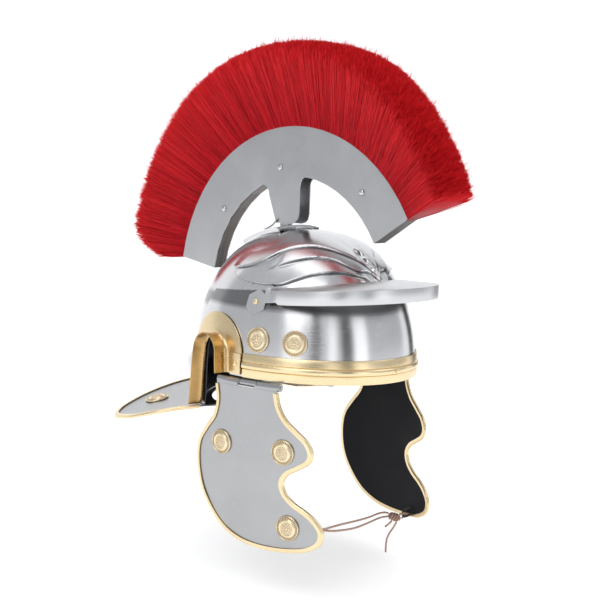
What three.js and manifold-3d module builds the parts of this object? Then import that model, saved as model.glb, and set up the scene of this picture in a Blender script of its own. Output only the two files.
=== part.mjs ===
// Roman legionary helmet: embossed steel bowl, fore-and-aft crest, brass trim, hinged cheek guards and a tie.
// Millimetres, +Z up, the wearer faces -Y. The model is built from the rim plane (z = 0) and then lowered,
// so that the origin lies where the crown rests on the head.
import * as THREE from 'three';
import { mergeVertices } from 'three/addons/utils/BufferGeometryUtils.js';
import Module from 'manifold-3d';

const wasm = await Module();
wasm.setup();

// Shared thicknesses and clearances
const GAP = 0.3;
const SEATED_GAP = 0.5;
const SHEET = 1.2;

// Bowl
const BOWL_HALF_WIDTH = 98;
const BOWL_HALF_LENGTH = 118;
const CROWN_HEIGHT = 133;
const RISE_EXPONENT = 2.2;
const GIRTH_EXPONENT = 2.4;
const BOWL_WALL = 1.2;
const NAPE_DROP = 36;
const NAPE_BULGE = 9;
const NAPE_BULGE_CENTRE = -5;
const NAPE_BULGE_HALF_HEIGHT = 15;
const NAPE_TUCK = 10;
const BROW_RELIEF = 2.6;
const BROW_FALLOFF = 15;
const BROW_TAIL_DEGREES = 12;

// Brow guard
const VISOR_HALF_WIDTH = 86;
const VISOR_HALF_LENGTH = 84;
const VISOR_CENTRE_Y = -57;
const VISOR_SHELF_HEIGHT = 81;
const VISOR_FRONT_RISE = 7;
const VISOR_LIP = 13;
const VISOR_SWEEP = 108;
const TAB_RADIUS = 11.5;
const TAB_Y = -21;
const TAB_Z = 69;
const SMALL_RIVET_RADIUS = 2.6;

// Rim band and its end clips
const BAND_HEIGHT = 22;
const BAND_THICKNESS = 1.2;
const BAND_RIDGE = 1.5;
const BAND_RIDGE_FOOT = 6.2;
const BAND_RIDGE_TOP = 4;
const CLIP_HEIGHT = 19;
const CLIP_THICKNESS = 1;

// Ear guard
const EAR_CENTRE_Y = 20.5;
const EAR_RADIUS = 16.5;
const EAR_SPRING = 18;
const EAR_FRONT_FOOT_Y = 2.5;
const EAR_FRONT_FOOT_Z = 2;
const EAR_REAR_FOOT_Y = 42.5;
const EAR_FLANGE_CENTRE_Y = 24.5;
const EAR_FLANGE_RADIUS = 40;
const EAR_FLANGE_SPRING = 15;
const EAR_FLANGE_REAR_FOOT_Y = 58;
const EAR_FILLET = 5;
const EAR_LIP = 15;
const EAR_CLEARANCE = 2;

// Neck guard
const NECK_HALF_WIDTH = 141;
const NECK_FRONT_Y = 38;
const NECK_REAR_Y = 152;
const NECK_ARCH = 31;
const NECK_LEDGE = 18;
const EDGING_DEPTH = 4.2;
const EDGING_THICKNESS = 3.8;
const EDGING_LIP = 1.2;

// Hinge and cheek guard
const HINGE_REAR_Y = 11.5;
const HINGE_FRONT_Y = -59;
const HINGE_OUTSET = { rear: 3.5, front: 4.5 };
const KNUCKLE_RADIUS = 3.8;
const KNUCKLE_SPLITS = { rear: -14.8, front: -33.6 };
const PIN_RADIUS = 1.4;
const BORE_CLEARANCE = 0.4;
const RIM_CLEARANCE = 1.2;
const HINGE_LEAF_HEIGHT = 16;
const CHEEK_CURVE_RADIUS = 365;
const CHEEK_LENGTH = 145;
const CHEEK_HEIGHT = 149;
const CHEEK_REAR_OVERHANG = 26.5;
const CHEEK_JAW_LEAN = 6;
const LINING_THICKNESS = 1;

// Rosettes
const ROSETTE_RADIUS = 11.8;
const ROSETTE_HEIGHT = 3.6;

// Crest
const CREST_CENTRE_Y = 13;
const CREST_CENTRE_Z = 65;
const CREST_OUTER_RADIUS = 168;
const CREST_INNER_RADIUS = 119.5;
const CREST_INNER_SHIFT = 3;
const CREST_REAR_ANGLE = 9.2;
const CREST_FRONT_ANGLE = 149;
const CREST_INNER_WIDTH = 13.6;
const STEM_FRONT_Y = 6;
const STEM_REAR_TOP_Y = 48;
const STEM_REAR_FOOT_Y = 37;
const STEM_CORNER = 10;
const CORE_MARGIN = 4;
const BRISTLE_LENGTH = 82;
const BRISTLE_SPLAY = 25;
const BRISTLE_FAN = 1.03;
const BRISTLE_SHORTENING = { front: 0.26, rear: 0.14 };
const LOCK_DEPTH = 3;
const CREST_SHANK_RADIUS = 1.9;
const CREST_HEAD_RADIUS = 3.2;
const CREST_HEAD_HEIGHT = 1.6;

// Crest seat, foot and hooked pin
const SEAT_HALF_WIDTH = 28;
const SEAT_FRONT_Y = 12;
const SEAT_REAR_Y = 60;
const SEAT_RISE = 4.2;
const SEAT_SKIRT = 1.3;
const FOOT_WIDTH = 6;
const FOOT_FRONT_Y = 25;
const FOOT_REAR_Y = 36;
const FOOT_TOP = 16;
const HOOK_WIRE = 1.6;

// Tie
const THONG_DIAMETER = 2;
const LOOP_DIAMETER = 2.4;
const LOOP_SPREAD = 3.5;

// Places that several pieces share
const HINGE_AXIS_Z = -KNUCKLE_RADIUS - RIM_CLEARANCE;
const CHEEK_TOP_Z = HINGE_AXIS_Z - KNUCKLE_RADIUS - GAP;
const CREST_HALF_THICKNESS = CREST_INNER_WIDTH / 2 + SHEET;
const STEM_BASE_Z = CROWN_HEIGHT + SEAT_RISE + GAP;
const HEAD_SEAT_Z = CROWN_HEIGHT - BOWL_WALL;

// Upper, middle and lower crease of the embossed brow: degrees from the front, share of the crown height
const BROW_CREASES = [
  [[4, 0.76], [12, 0.83], [23, 0.87], [34, 0.895], [46, 0.905], [62, 0.89], [73, 0.855], [84, 0.795],
    [95, 0.745], [104, 0.73], [112, 0.74]],
  [[0, 0.68], [5, 0.735], [17, 0.76], [30, 0.82], [44, 0.833], [55, 0.82], [65, 0.795], [74, 0.76], [80, 0.732]],
  [[0, 0.61], [7, 0.66], [11, 0.70], [19, 0.727], [29, 0.745], [40, 0.736], [50, 0.718], [58, 0.686],
    [66, 0.651], [75, 0.643], [85, 0.646], [97, 0.67], [108, 0.706]],
].map((rows) => rows.map(([degrees, share]) => ({ degrees, share })));

// Half outline of the neck guard from its front corner to the middle of the back
const NECK_OUTLINE = [
  [0.72, 0], [0.83, 0.09], [0.94, 0.23], [1, 0.42], [0.985, 0.62], [0.93, 0.83], [0.83, 0.935],
  [0.68, 0.975], [0.36, 0.995], [0, 1],
].map(([shareOut, shareBack]) => ({ shareOut, shareBack }));

// Cheek guard outline from the hinge's rear end round the lobes to its front end
const CHEEK_OUTLINE = [
  [0.18, 0.01], [0.19, 0.10], [0.163, 0.20], [0.094, 0.285], [0.02, 0.39], [0, 0.52], [0.035, 0.69],
  [0.125, 0.825], [0.25, 0.93], [0.40, 0.985], [0.57, 1], [0.75, 0.988], [0.9, 0.955], [0.982, 0.895],
  [0.995, 0.82], [0.945, 0.748], [0.875, 0.7], [0.797, 0.66], [0.74, 0.607], [0.724, 0.553], [0.752, 0.503],
  [0.83, 0.455], [0.893, 0.41], [0.915, 0.355], [0.885, 0.28], [0.812, 0.218], [0.74, 0.16], [0.69, 0.085],
  [0.671, 0.01],
].map(([shareForward, shareDown]) => ({ shareForward, shareDown }));

const CHEEK_ROSETTES = {
  rear: { shareForward: 0.2375, shareDown: 0.37 },
  front: { shareForward: 0.7125, shareDown: 0.361 },
  lower: { shareForward: 0.76, shareDown: 0.828 },
};
const BOWL_ROSETTES = { rear: { y: -30.5, z: 35.7 }, front: { y: -65, z: 35.7 } };
const NECK_ROSETTE = { x: 88, y: 119 };
const CREST_RIVETS = {
  rear: { degrees: 39, radius: 130.5 },
  middle: { degrees: 81, radius: 129 },
  front: { degrees: 129.3, radius: 139 },
};

// Route of the tie, from the knot along the upper strand, through the right loop and back along the lower strand
const THONG_ROUTE = [
  [72.2, -57.4, -153.4], [64, -60, -150.6], [48, -65.1, -147.4], [30, -70.9, -145.4], [10, -77.2, -142.6],
  [-15, -85.2, -138.3], [-40, -93.3, -133.8], [-58, -97.6, -131.6], [-67, -99.4, -130.7], [-71.6, -98.6, -130.6],
  [-73.6, -95, -130.8], [-74.5, -92.2, -131], [-75.3, -88.6, -131.2], [-73.6, -85.6, -131.6],
  [-70.2, -86, -132], [-68.2, -89.3, -132.3], [-67.2, -92.8, -132.7], [-63, -96.2, -133.8], [-54, -96.6, -136],
  [-40, -93.6, -139.2], [-22, -88.2, -143.2], [-5, -82.6, -146.5], [14, -76.6, -148.8], [32, -70.8, -150.6],
  [52, -64.4, -152.6], [71, -58.9, -156.3],
];
const BIGHT_ROUTE = [
  [79.4, -66, -155], [78.8, -68.6, -153.3], [78.6, -71.1, -152], [80.6, -73.1, -151.3],
  [82.7, -73.2, -152.2], [83.5, -71.2, -154.4], [83.2, -69, -156.8], [82.4, -67.3, -158.4],
];
const LONG_END_ROUTE = [
  [80, -62.7, -163.6], [79.2, -59.4, -170], [78.2, -55.4, -177], [77.4, -53.4, -183], [77, -52.9, -189],
  [77, -52.8, -197],
];
const SHORT_END_ROUTE = [[76.6, -59.3, -162.2], [74.2, -56.8, -166], [72, -54.6, -168.6]];
const KNOT = { x: 78.5, y: -61, z: -158, halfLength: 8, halfWidth: 5, halfHeight: 4.4, tilt: 22, turn: -38 };
const TIE_LOOPS = {
  left: { y: -80.5, z: -147, lie: -37, reach: 11.7, lift: 3.6 },
  right: { y: -94, z: -131, lie: 0, reach: 0, lift: 7.5 },
};

const FINISHES = {
  steel: { color: 0xb9babc, roughness: 0.3, metalness: 1 },
  brass: { color: 0xd3a95c, roughness: 0.35, metalness: 1 },
  bronze: { color: 0xcfa27c, roughness: 0.4, metalness: 1 },
  lining: { color: 0x111214, roughness: 0.85, metalness: 0 },
  core: { color: 0x5c534e, roughness: 0.7, metalness: 0 },
  bristle: { color: 0xb01018, roughness: 0.75, metalness: 0 },
  thong: { color: 0xa98871, roughness: 0.8, metalness: 0 },
  loop: { color: 0x17171a, roughness: 0.7, metalness: 0 },
};

const radians = THREE.MathUtils.degToRad;
const mix = THREE.MathUtils.lerp;
const at = (x, y, z) => new THREE.Vector3(x, y, z);
const steps = (count, first, last) => Array.from({ length: count + 1 }, (_, i) => mix(first, last, i / count));

const helmet = new THREE.Group();
helmet.position.z = -HEAD_SEAT_Z;

// Solids

// One closed skin: shared vertices, no empty triangles, faces pointing out.
function closedSkin(geometry) {
  const bare = geometry.clone();
  for (const name of Object.keys(bare.attributes)) {
    if (name !== 'position') bare.deleteAttribute(name);
  }
  const merged = mergeVertices(bare, 1e-4);
  const corners = merged.index.array;
  const places = merged.attributes.position;
  const kept = [];
  const [a, b, c] = [at(0, 0, 0), at(0, 0, 0), at(0, 0, 0)];
  let volume = 0;
  for (let i = 0; i < corners.length; i += 3) {
    const [p, q, r] = [corners[i], corners[i + 1], corners[i + 2]];
    if (p === q || q === r || r === p) continue;
    kept.push(p, q, r);
    a.fromBufferAttribute(places, p);
    b.fromBufferAttribute(places, q);
    c.fromBufferAttribute(places, r);
    volume += a.dot(b.cross(c));
  }
  merged.setIndex(volume < 0 ? kept.reverse() : kept);
  return merged;
}

function toSolid(geometry) {
  const skin = closedSkin(geometry);
  return new wasm.Manifold(new wasm.Mesh({
    numProp: 3,
    vertProperties: new Float32Array(skin.attributes.position.array),
    triVerts: new Uint32Array(skin.index.array),
  }));
}

function toGeometry(solid) {
  const mesh = solid.getMesh();
  const geometry = new THREE.BufferGeometry();
  geometry.setAttribute('position', new THREE.BufferAttribute(new Float32Array(mesh.vertProperties), 3));
  geometry.setIndex(Array.from(mesh.triVerts));
  return geometry;
}

function cut(body, ...cutters) {
  return toGeometry(cutters.reduce((left, cutter) => left.subtract(toSolid(cutter)), toSolid(body)));
}

function join(body, ...others) {
  return toGeometry(others.reduce((whole, other) => whole.add(toSolid(other)), toSolid(body)));
}

function overlap(body, ...others) {
  return toGeometry(others.reduce((shared, other) => shared.intersect(toSolid(other)), toSolid(body)));
}

function meshFrom(points, triangles) {
  const geometry = new THREE.BufferGeometry();
  geometry.setAttribute('position', new THREE.Float32BufferAttribute(points.flatMap((p) => p.toArray()), 3));
  geometry.setIndex(triangles);
  return closedSkin(geometry);
}

// A wall between two grids of points with the same rows and columns, whose rows may close on themselves.
function wallBetween(outer, inner, closed) {
  const rows = outer.length;
  const columns = outer[0].length;
  const points = [...outer.flat(), ...inner.flat()];
  const triangles = [];
  const quad = (a, b, c, d) => triangles.push(a, b, c, a, c, d);
  const front = (i, j) => (i % rows) * columns + j;
  const back = (i, j) => rows * columns + front(i, j);
  const spans = closed ? rows : rows - 1;
  for (let i = 0; i < spans; i += 1) {
    for (let j = 0; j + 1 < columns; j += 1) {
      quad(front(i, j), front(i + 1, j), front(i + 1, j + 1), front(i, j + 1));
      quad(back(i, j), back(i, j + 1), back(i + 1, j + 1), back(i + 1, j));
    }
    quad(back(i, 0), back(i + 1, 0), front(i + 1, 0), front(i, 0));
    quad(front(i, columns - 1), front(i + 1, columns - 1), back(i + 1, columns - 1), back(i, columns - 1));
  }
  if (!closed) {
    for (let j = 0; j + 1 < columns; j += 1) {
      quad(front(0, j), front(0, j + 1), back(0, j + 1), back(0, j));
      quad(back(rows - 1, j), back(rows - 1, j + 1), front(rows - 1, j + 1), front(rows - 1, j));
    }
  }
  return meshFrom(points, triangles);
}

// A sheet of the given thickness, centred on a grid of points.
function sheet(grid, thickness) {
  const last = { row: grid.length - 1, column: grid[0].length - 1 };
  const side = (sign) => grid.map((row, i) => row.map((point, j) => {
    const along = grid[Math.min(i + 1, last.row)][j].clone().sub(grid[Math.max(i - 1, 0)][j]);
    const across = row[Math.min(j + 1, last.column)].clone().sub(row[Math.max(j - 1, 0)]);
    return along.cross(across).normalize().multiplyScalar((sign * thickness) / 2).add(point);
  }));
  return wallBetween(side(1), side(-1), false);
}

// A section carried through a run of stations, where place puts each of its points at each station.
function sweep(section, stations, place) {
  const flat = section.map(([u, v]) => new THREE.Vector2(u, v));
  const ring = THREE.ShapeUtils.isClockWise(flat) ? [...section].reverse() : section;
  const count = ring.length;
  const points = stations.flatMap((station) => ring.map((point) => place(station, point)));
  const triangles = [];
  for (let i = 0; i + 1 < stations.length; i += 1) {
    for (let j = 0; j < count; j += 1) {
      const next = (j + 1) % count;
      const [a, b] = [i * count + j, i * count + next];
      triangles.push(a, b, b + count, a, b + count, a + count);
    }
  }
  const end = (stations.length - 1) * count;
  const cap = THREE.ShapeUtils.triangulateShape(ring.map(([u, v]) => new THREE.Vector2(u, v)), []);
  for (const [a, b, c] of cap) triangles.push(c, b, a, end + a, end + b, end + c);
  return meshFrom(points, triangles);
}

function box(min, max) {
  const size = max.clone().sub(min);
  return new THREE.BoxGeometry(size.x, size.y, size.z).translate(...min.clone().add(max).divideScalar(2));
}

// A prism whose outline lies in the side view (y, z), from one x to another.
function sidePrism(outline, fromX, toX) {
  const shape = new THREE.Shape(outline.map(([y, z]) => new THREE.Vector2(y, z)));
  const turn = new THREE.Matrix4().makeBasis(at(0, 1, 0), at(0, 0, 1), at(1, 0, 0));
  return new THREE.ExtrudeGeometry(shape, { depth: toX - fromX, bevelEnabled: false })
    .applyMatrix4(turn)
    .translate(fromX, 0, 0);
}

function tube(curve, diameter, sides, spans) {
  const ring = Array.from({ length: sides }, (_, i) => {
    const turn = (2 * Math.PI * i) / sides;
    return new THREE.Vector2((diameter / 2) * Math.cos(turn), (diameter / 2) * Math.sin(turn));
  });
  return new THREE.ExtrudeGeometry(new THREE.Shape(ring), { steps: spans, extrudePath: curve });
}

// A cylinder between two points.
function rod(from, to, radius, sides) {
  const along = to.clone().sub(from);
  const turn = new THREE.Quaternion().setFromUnitVectors(at(0, 1, 0), along.clone().normalize());
  return new THREE.CylinderGeometry(radius, radius, along.length(), sides)
    .applyQuaternion(turn)
    .translate(...from.clone().add(to).divideScalar(2));
}

// A turned piece standing on a surface point, its axis along the surface normal.
function turned(profile, sides, place, normal) {
  const turn = new THREE.Quaternion().setFromUnitVectors(at(0, 1, 0), normal);
  return new THREE.LatheGeometry(profile.map(([r, h]) => new THREE.Vector2(r, h)), sides)
    .applyQuaternion(turn)
    .translate(...place);
}

// Moves each corner of a closed outline inwards by one distance.
function inset(outline, distance) {
  const count = outline.length;
  const area = outline.reduce((sum, [y, z], i) => {
    const [nextY, nextZ] = outline[(i + 1) % count];
    return sum + y * nextZ - nextY * z;
  }, 0);
  return outline.map(([y, z], i) => {
    const [beforeY, beforeZ] = outline[(i + count - 1) % count];
    const [afterY, afterZ] = outline[(i + 1) % count];
    const into = new THREE.Vector2(y - beforeY, z - beforeZ).normalize();
    const out = new THREE.Vector2(afterY - y, afterZ - z).normalize();
    const along = into.clone().add(out).normalize();
    const reach = (distance * Math.sign(area)) / Math.max(into.dot(along), 0.5);
    return [y - along.y * reach, z + along.x * reach];
  });
}

function add(name, geometry, finish) {
  const mesh = new THREE.Mesh(closedSkin(geometry), new THREE.MeshStandardMaterial(FINISHES[finish]));
  mesh.name = name;
  helmet.add(mesh);
}

// The same piece on both sides: the wearer's left is +X.
function addPair(name, geometry, finish) {
  add(`${name}_left`, geometry, finish);
  add(`${name}_right`, geometry.clone().scale(-1, 1, 1), finish);
}

// Bowl surface

// Share of the rim size at a height above the rim.
function girth(z) {
  const rise = THREE.MathUtils.clamp(z / CROWN_HEIGHT, 0, 1);
  return (1 - rise ** RISE_EXPONENT) ** (1 / GIRTH_EXPONENT);
}

function napeRelief(angle, z) {
  const back = THREE.MathUtils.smoothstep(-Math.cos(angle), 0.4, 0.8);
  const bulge = Math.max(0, 1 - ((z - NAPE_BULGE_CENTRE) / NAPE_BULGE_HALF_HEIGHT) ** 2);
  const tuck = THREE.MathUtils.smoothstep(-z, NAPE_DROP / 3, NAPE_DROP);
  return back * (NAPE_BULGE * bulge - NAPE_TUCK * tuck);
}

// Height of a crease at an angle from the front, or null past its ends.
function creaseHeight(crease, degrees) {
  const next = crease.findIndex((row) => row.degrees >= degrees);
  if (next < 1) return null;
  const [from, to] = [crease[next - 1], crease[next]];
  const share = (degrees - from.degrees) / (to.degrees - from.degrees);
  return CROWN_HEIGHT * mix(from.share, to.share, share);
}

// Each crease is the sharp lower edge of a raised lock that dies away upwards and towards its ends.
function browRelief(angle, z) {
  const degrees = Math.abs(THREE.MathUtils.radToDeg(Math.atan2(Math.sin(angle), Math.cos(angle))));
  const raised = BROW_CREASES.map((crease) => {
    const edge = creaseHeight(crease, degrees);
    if (edge === null || z < edge) return 0;
    const tail = Math.min(1, (crease.at(-1).degrees - degrees) / BROW_TAIL_DEGREES);
    return tail * Math.max(0, 1 - (z - edge) / BROW_FALLOFF);
  });
  return BROW_RELIEF * Math.max(...raised);
}

// Outward direction of the bowl where its angle from the front and its height are given.
function bowlNormal(angle, z) {
  const share = girth(z);
  const rise = THREE.MathUtils.clamp(z / CROWN_HEIGHT, 0, 0.9999);
  const slope = ((1 - rise ** RISE_EXPONENT) ** (2 / GIRTH_EXPONENT - 1) * RISE_EXPONENT
    * rise ** (RISE_EXPONENT - 1)) / (GIRTH_EXPONENT * CROWN_HEIGHT);
  return at((share * Math.sin(angle)) / BOWL_HALF_WIDTH, (-share * Math.cos(angle)) / BOWL_HALF_LENGTH, slope)
    .normalize();
}

function bowlPoint(angle, z, offset) {
  const share = girth(z);
  const point = at(BOWL_HALF_WIDTH * share * Math.sin(angle), -BOWL_HALF_LENGTH * share * Math.cos(angle), z);
  return point.addScaledVector(bowlNormal(angle, z), offset + napeRelief(angle, z));
}

// How far the neck guard has drooped at a place in the top view.
function neckDroop(x, y) {
  const back = Math.max(0, (y - NECK_FRONT_Y) / (NECK_REAR_Y - NECK_FRONT_Y));
  return NECK_ARCH * (x / NECK_HALF_WIDTH) ** 2 * back;
}

const neckHeight = (x, y) => -NAPE_DROP - SEATED_GAP - neckDroop(x, y);

// Angle from the front at which the bowl's left side reaches y, at a height.
function bowlAngle(y, z) {
  return Math.acos(THREE.MathUtils.clamp(-y / (BOWL_HALF_LENGTH * girth(z)), -1, 1));
}

// Height of the bowl's plain surface over a place in the top view.
function bowlHeight(x, y) {
  const share = Math.hypot(x / BOWL_HALF_WIDTH, y / BOWL_HALF_LENGTH);
  return CROWN_HEIGHT * (1 - share ** GIRTH_EXPONENT) ** (1 / RISE_EXPONENT);
}

function overBowl(x, y, offset) {
  const z = bowlHeight(x, y);
  const angle = Math.atan2(x / BOWL_HALF_WIDTH, -y / BOWL_HALF_LENGTH);
  return at(x, y, z).addScaledVector(bowlNormal(angle, z), offset);
}

// A closed body under the bowl surface, whose nape reaches down to the neck guard.
function bowlBody(columns, heights, offset, relief) {
  const points = heights.flatMap((z) => steps(columns, 0, 2 * Math.PI).slice(0, columns).map((angle) => {
    const point = bowlPoint(angle, z, offset + (relief ? browRelief(angle, z) : 0));
    const stretch = z < 0 ? 1 + neckDroop(point.x, point.y) / NAPE_DROP : 1;
    return point.setZ(point.z * stretch);
  }));
  const triangles = [];
  for (let i = 0; i + 1 < heights.length; i += 1) {
    for (let j = 0; j < columns; j += 1) {
      const next = (j + 1) % columns;
      const [a, b] = [i * columns + j, i * columns + next];
      triangles.push(a, b, b + columns, a, b + columns, a + columns);
    }
  }
  const pole = points.push(at(0, 0, CROWN_HEIGHT + offset)) - 1;
  const base = points.push(at(0, 0, heights[0])) - 1;
  const lastRing = (heights.length - 1) * columns;
  for (let j = 0; j < columns; j += 1) {
    const next = (j + 1) % columns;
    triangles.push(lastRing + j, lastRing + next, pole, next, j, base);
  }
  return meshFrom(points, triangles);
}

// Ear arches

const EAR_OPENING = {
  centreY: EAR_CENTRE_Y,
  radius: EAR_RADIUS,
  spring: EAR_SPRING,
  frontFoot: [EAR_FRONT_FOOT_Y, EAR_FRONT_FOOT_Z],
  rearFoot: [EAR_REAR_FOOT_Y, -NAPE_DROP + GAP],
};
const EAR_FLANGE = {
  centreY: EAR_FLANGE_CENTRE_Y,
  radius: EAR_FLANGE_RADIUS,
  spring: EAR_FLANGE_SPRING,
  frontFoot: [EAR_FLANGE_CENTRE_Y - EAR_FLANGE_RADIUS, EAR_FRONT_FOOT_Z],
  rearFoot: [EAR_FLANGE_REAR_FOOT_Y, EAR_OPENING.rearFoot[1]],
};

// Points along an arch: up the front leg, over the top and down the rear leg.
function archPoints(arch, legSpans, topSpans, rearSpans) {
  const lineUp = steps(legSpans, 0, 1).map((t) => [
    mix(arch.frontFoot[0], arch.centreY - arch.radius, t), mix(arch.frontFoot[1], arch.spring, t)]);
  const over = steps(topSpans, Math.PI, 0).map((turn) => [
    arch.centreY + arch.radius * Math.cos(turn), arch.spring + arch.radius * Math.sin(turn)]);
  const lineDown = steps(rearSpans, 0, 1).map((t) => [
    mix(arch.centreY + arch.radius, arch.rearFoot[0], t), mix(arch.spring, arch.rearFoot[1], t)]);
  return [...lineUp.slice(0, -1), ...over, ...lineDown.slice(1)];
}

function earGuard() {
  const opening = archPoints(EAR_OPENING, 1, 7, 4);
  const flange = archPoints(EAR_FLANGE, 1, 7, 4);
  const seat = 2 * SEATED_GAP + SHEET / 2;
  const grid = opening.map(([y, z], i) => {
    const [flangeY, flangeZ] = flange[i];
    const out = new THREE.Vector2(flangeY - y, flangeZ - z);
    const width = out.length();
    const fillet = Math.min(EAR_FILLET, width * 0.8);
    out.normalize();
    const step = (reach, lift) => {
      const [stepY, stepZ] = [y + out.x * reach, z + out.y * reach];
      return bowlPoint(bowlAngle(stepY, stepZ), stepZ, seat + lift);
    };
    return [
      step(width, 0),
      step(fillet, 0),
      step(fillet * 0.3, fillet * 0.3),
      step(0, fillet),
      step(0, EAR_LIP),
    ];
  });
  return sheet(grid, SHEET);
}

// The bowl stops short of the arch, and its front half ends at the rim.
function earCutters() {
  const wide = { ...EAR_OPENING, radius: EAR_RADIUS + EAR_CLEARANCE };
  wide.frontFoot = [EAR_FRONT_FOOT_Y - EAR_CLEARANCE, 0];
  wide.rearFoot = [EAR_REAR_FOOT_Y + EAR_CLEARANCE, -2 * NAPE_DROP];
  const outline = [...archPoints(wide, 1, 8, 1), [wide.frontFoot[0], wide.rearFoot[1]]];
  const reach = BOWL_HALF_WIDTH + NAPE_BULGE;
  const arch = sidePrism(outline, -reach, reach);
  const below = box(
    at(-reach, -BOWL_HALF_LENGTH - BROW_RELIEF - 1, -2 * NAPE_DROP),
    at(reach, wide.frontFoot[0] + 1, 0),
  );
  return [arch, below];
}

function buildBowl() {
  const nape = steps(3, -NAPE_DROP, 0);
  const wall = [0.08, 0.22, 0.4, 0.53, 0.61, 0.68, 0.73, 0.78, 0.82, 0.865, 0.91, 0.95, 0.985];
  const heights = [...nape, ...wall.map((share) => share * CROWN_HEIGHT)];
  const hollowNape = [-NAPE_DROP - 1, -NAPE_DROP * 0.5, 0];
  const hollowWall = [0.13, 0.34, 0.62, 0.85, 0.97].map((share) => share * CROWN_HEIGHT);
  const outer = bowlBody(42, heights, 0, true);
  const hollow = bowlBody(36, [...hollowNape, ...hollowWall], -BOWL_WALL, false);
  add('bowl', cut(outer, hollow, ...earCutters()), 'steel');
}

function buildEars() {
  addPair('ear_guard', earGuard(), 'brass');
}

// Neck guard and the edging that it shares with the cheek guards

// Section of the folded edging: depth in from the edge, offset across the sheet that it grips.
const EDGING_SECTION = (() => {
  const half = EDGING_THICKNESS / 2;
  const slot = SHEET / 2 + SEATED_GAP;
  return [
    [EDGING_DEPTH, slot], [EDGING_DEPTH, half], [0, half], [0, -half], [EDGING_DEPTH, -half],
    [EDGING_DEPTH, -slot], [EDGING_LIP, -slot], [EDGING_LIP, slot],
  ];
})();

// Outline of the neck guard in the top view, from its left front corner round the back to the right one.
function neckOutline() {
  const half = NECK_OUTLINE.map(({ shareOut, shareBack }) => at(
    shareOut * NECK_HALF_WIDTH, mix(NECK_FRONT_Y, NECK_REAR_Y, shareBack), 0));
  const mirrored = half.slice(0, -1).reverse().map((p) => at(-p.x, p.y, 0));
  return new THREE.CatmullRomCurve3([...half, ...mirrored], false, 'centripetal').getSpacedPoints(25);
}

function buildNeck() {
  const edge = neckOutline();
  const last = edge.length - 1;
  const bands = [0, 0.4, 0.7, 1];
  const surface = (offset) => edge.map((point, i) => {
    const turn = Math.atan2(point.x / BOWL_HALF_WIDTH, -point.y / BOWL_HALF_LENGTH);
    const root = at(
      (BOWL_HALF_WIDTH - NECK_LEDGE) * Math.sin(turn), -(BOWL_HALF_LENGTH - NECK_LEDGE) * Math.cos(turn), 0);
    const before = edge[Math.max(i - 1, 0)];
    const after = edge[Math.min(i + 1, last)];
    const inward = at(before.y - after.y, after.x - before.x, 0).normalize();
    const rim = point.clone().addScaledVector(inward, EDGING_LIP + GAP);
    return bands.map((share) => {
      const [x, y] = [mix(root.x, rim.x, share), mix(root.y, rim.y, share)];
      return at(x, y, neckHeight(x, y) + offset);
    });
  });
  add('neck_guard', wallBetween(surface(0), surface(-SHEET), false), 'steel');

  const stations = edge.map((point, i) => {
    const before = edge[Math.max(i - 1, 0)];
    const after = edge[Math.min(i + 1, last)];
    return { point, out: at(after.y - before.y, before.x - after.x, 0).normalize() };
  });
  const edging = sweep(EDGING_SECTION, stations, ({ point, out }, [depth, offset]) => {
    const place = point.clone().addScaledVector(out, -depth);
    return at(place.x, place.y, neckHeight(place.x, place.y) - SHEET / 2 + offset);
  });
  add('neck_edging', edging, 'brass');
}

// Brow guard

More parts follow.
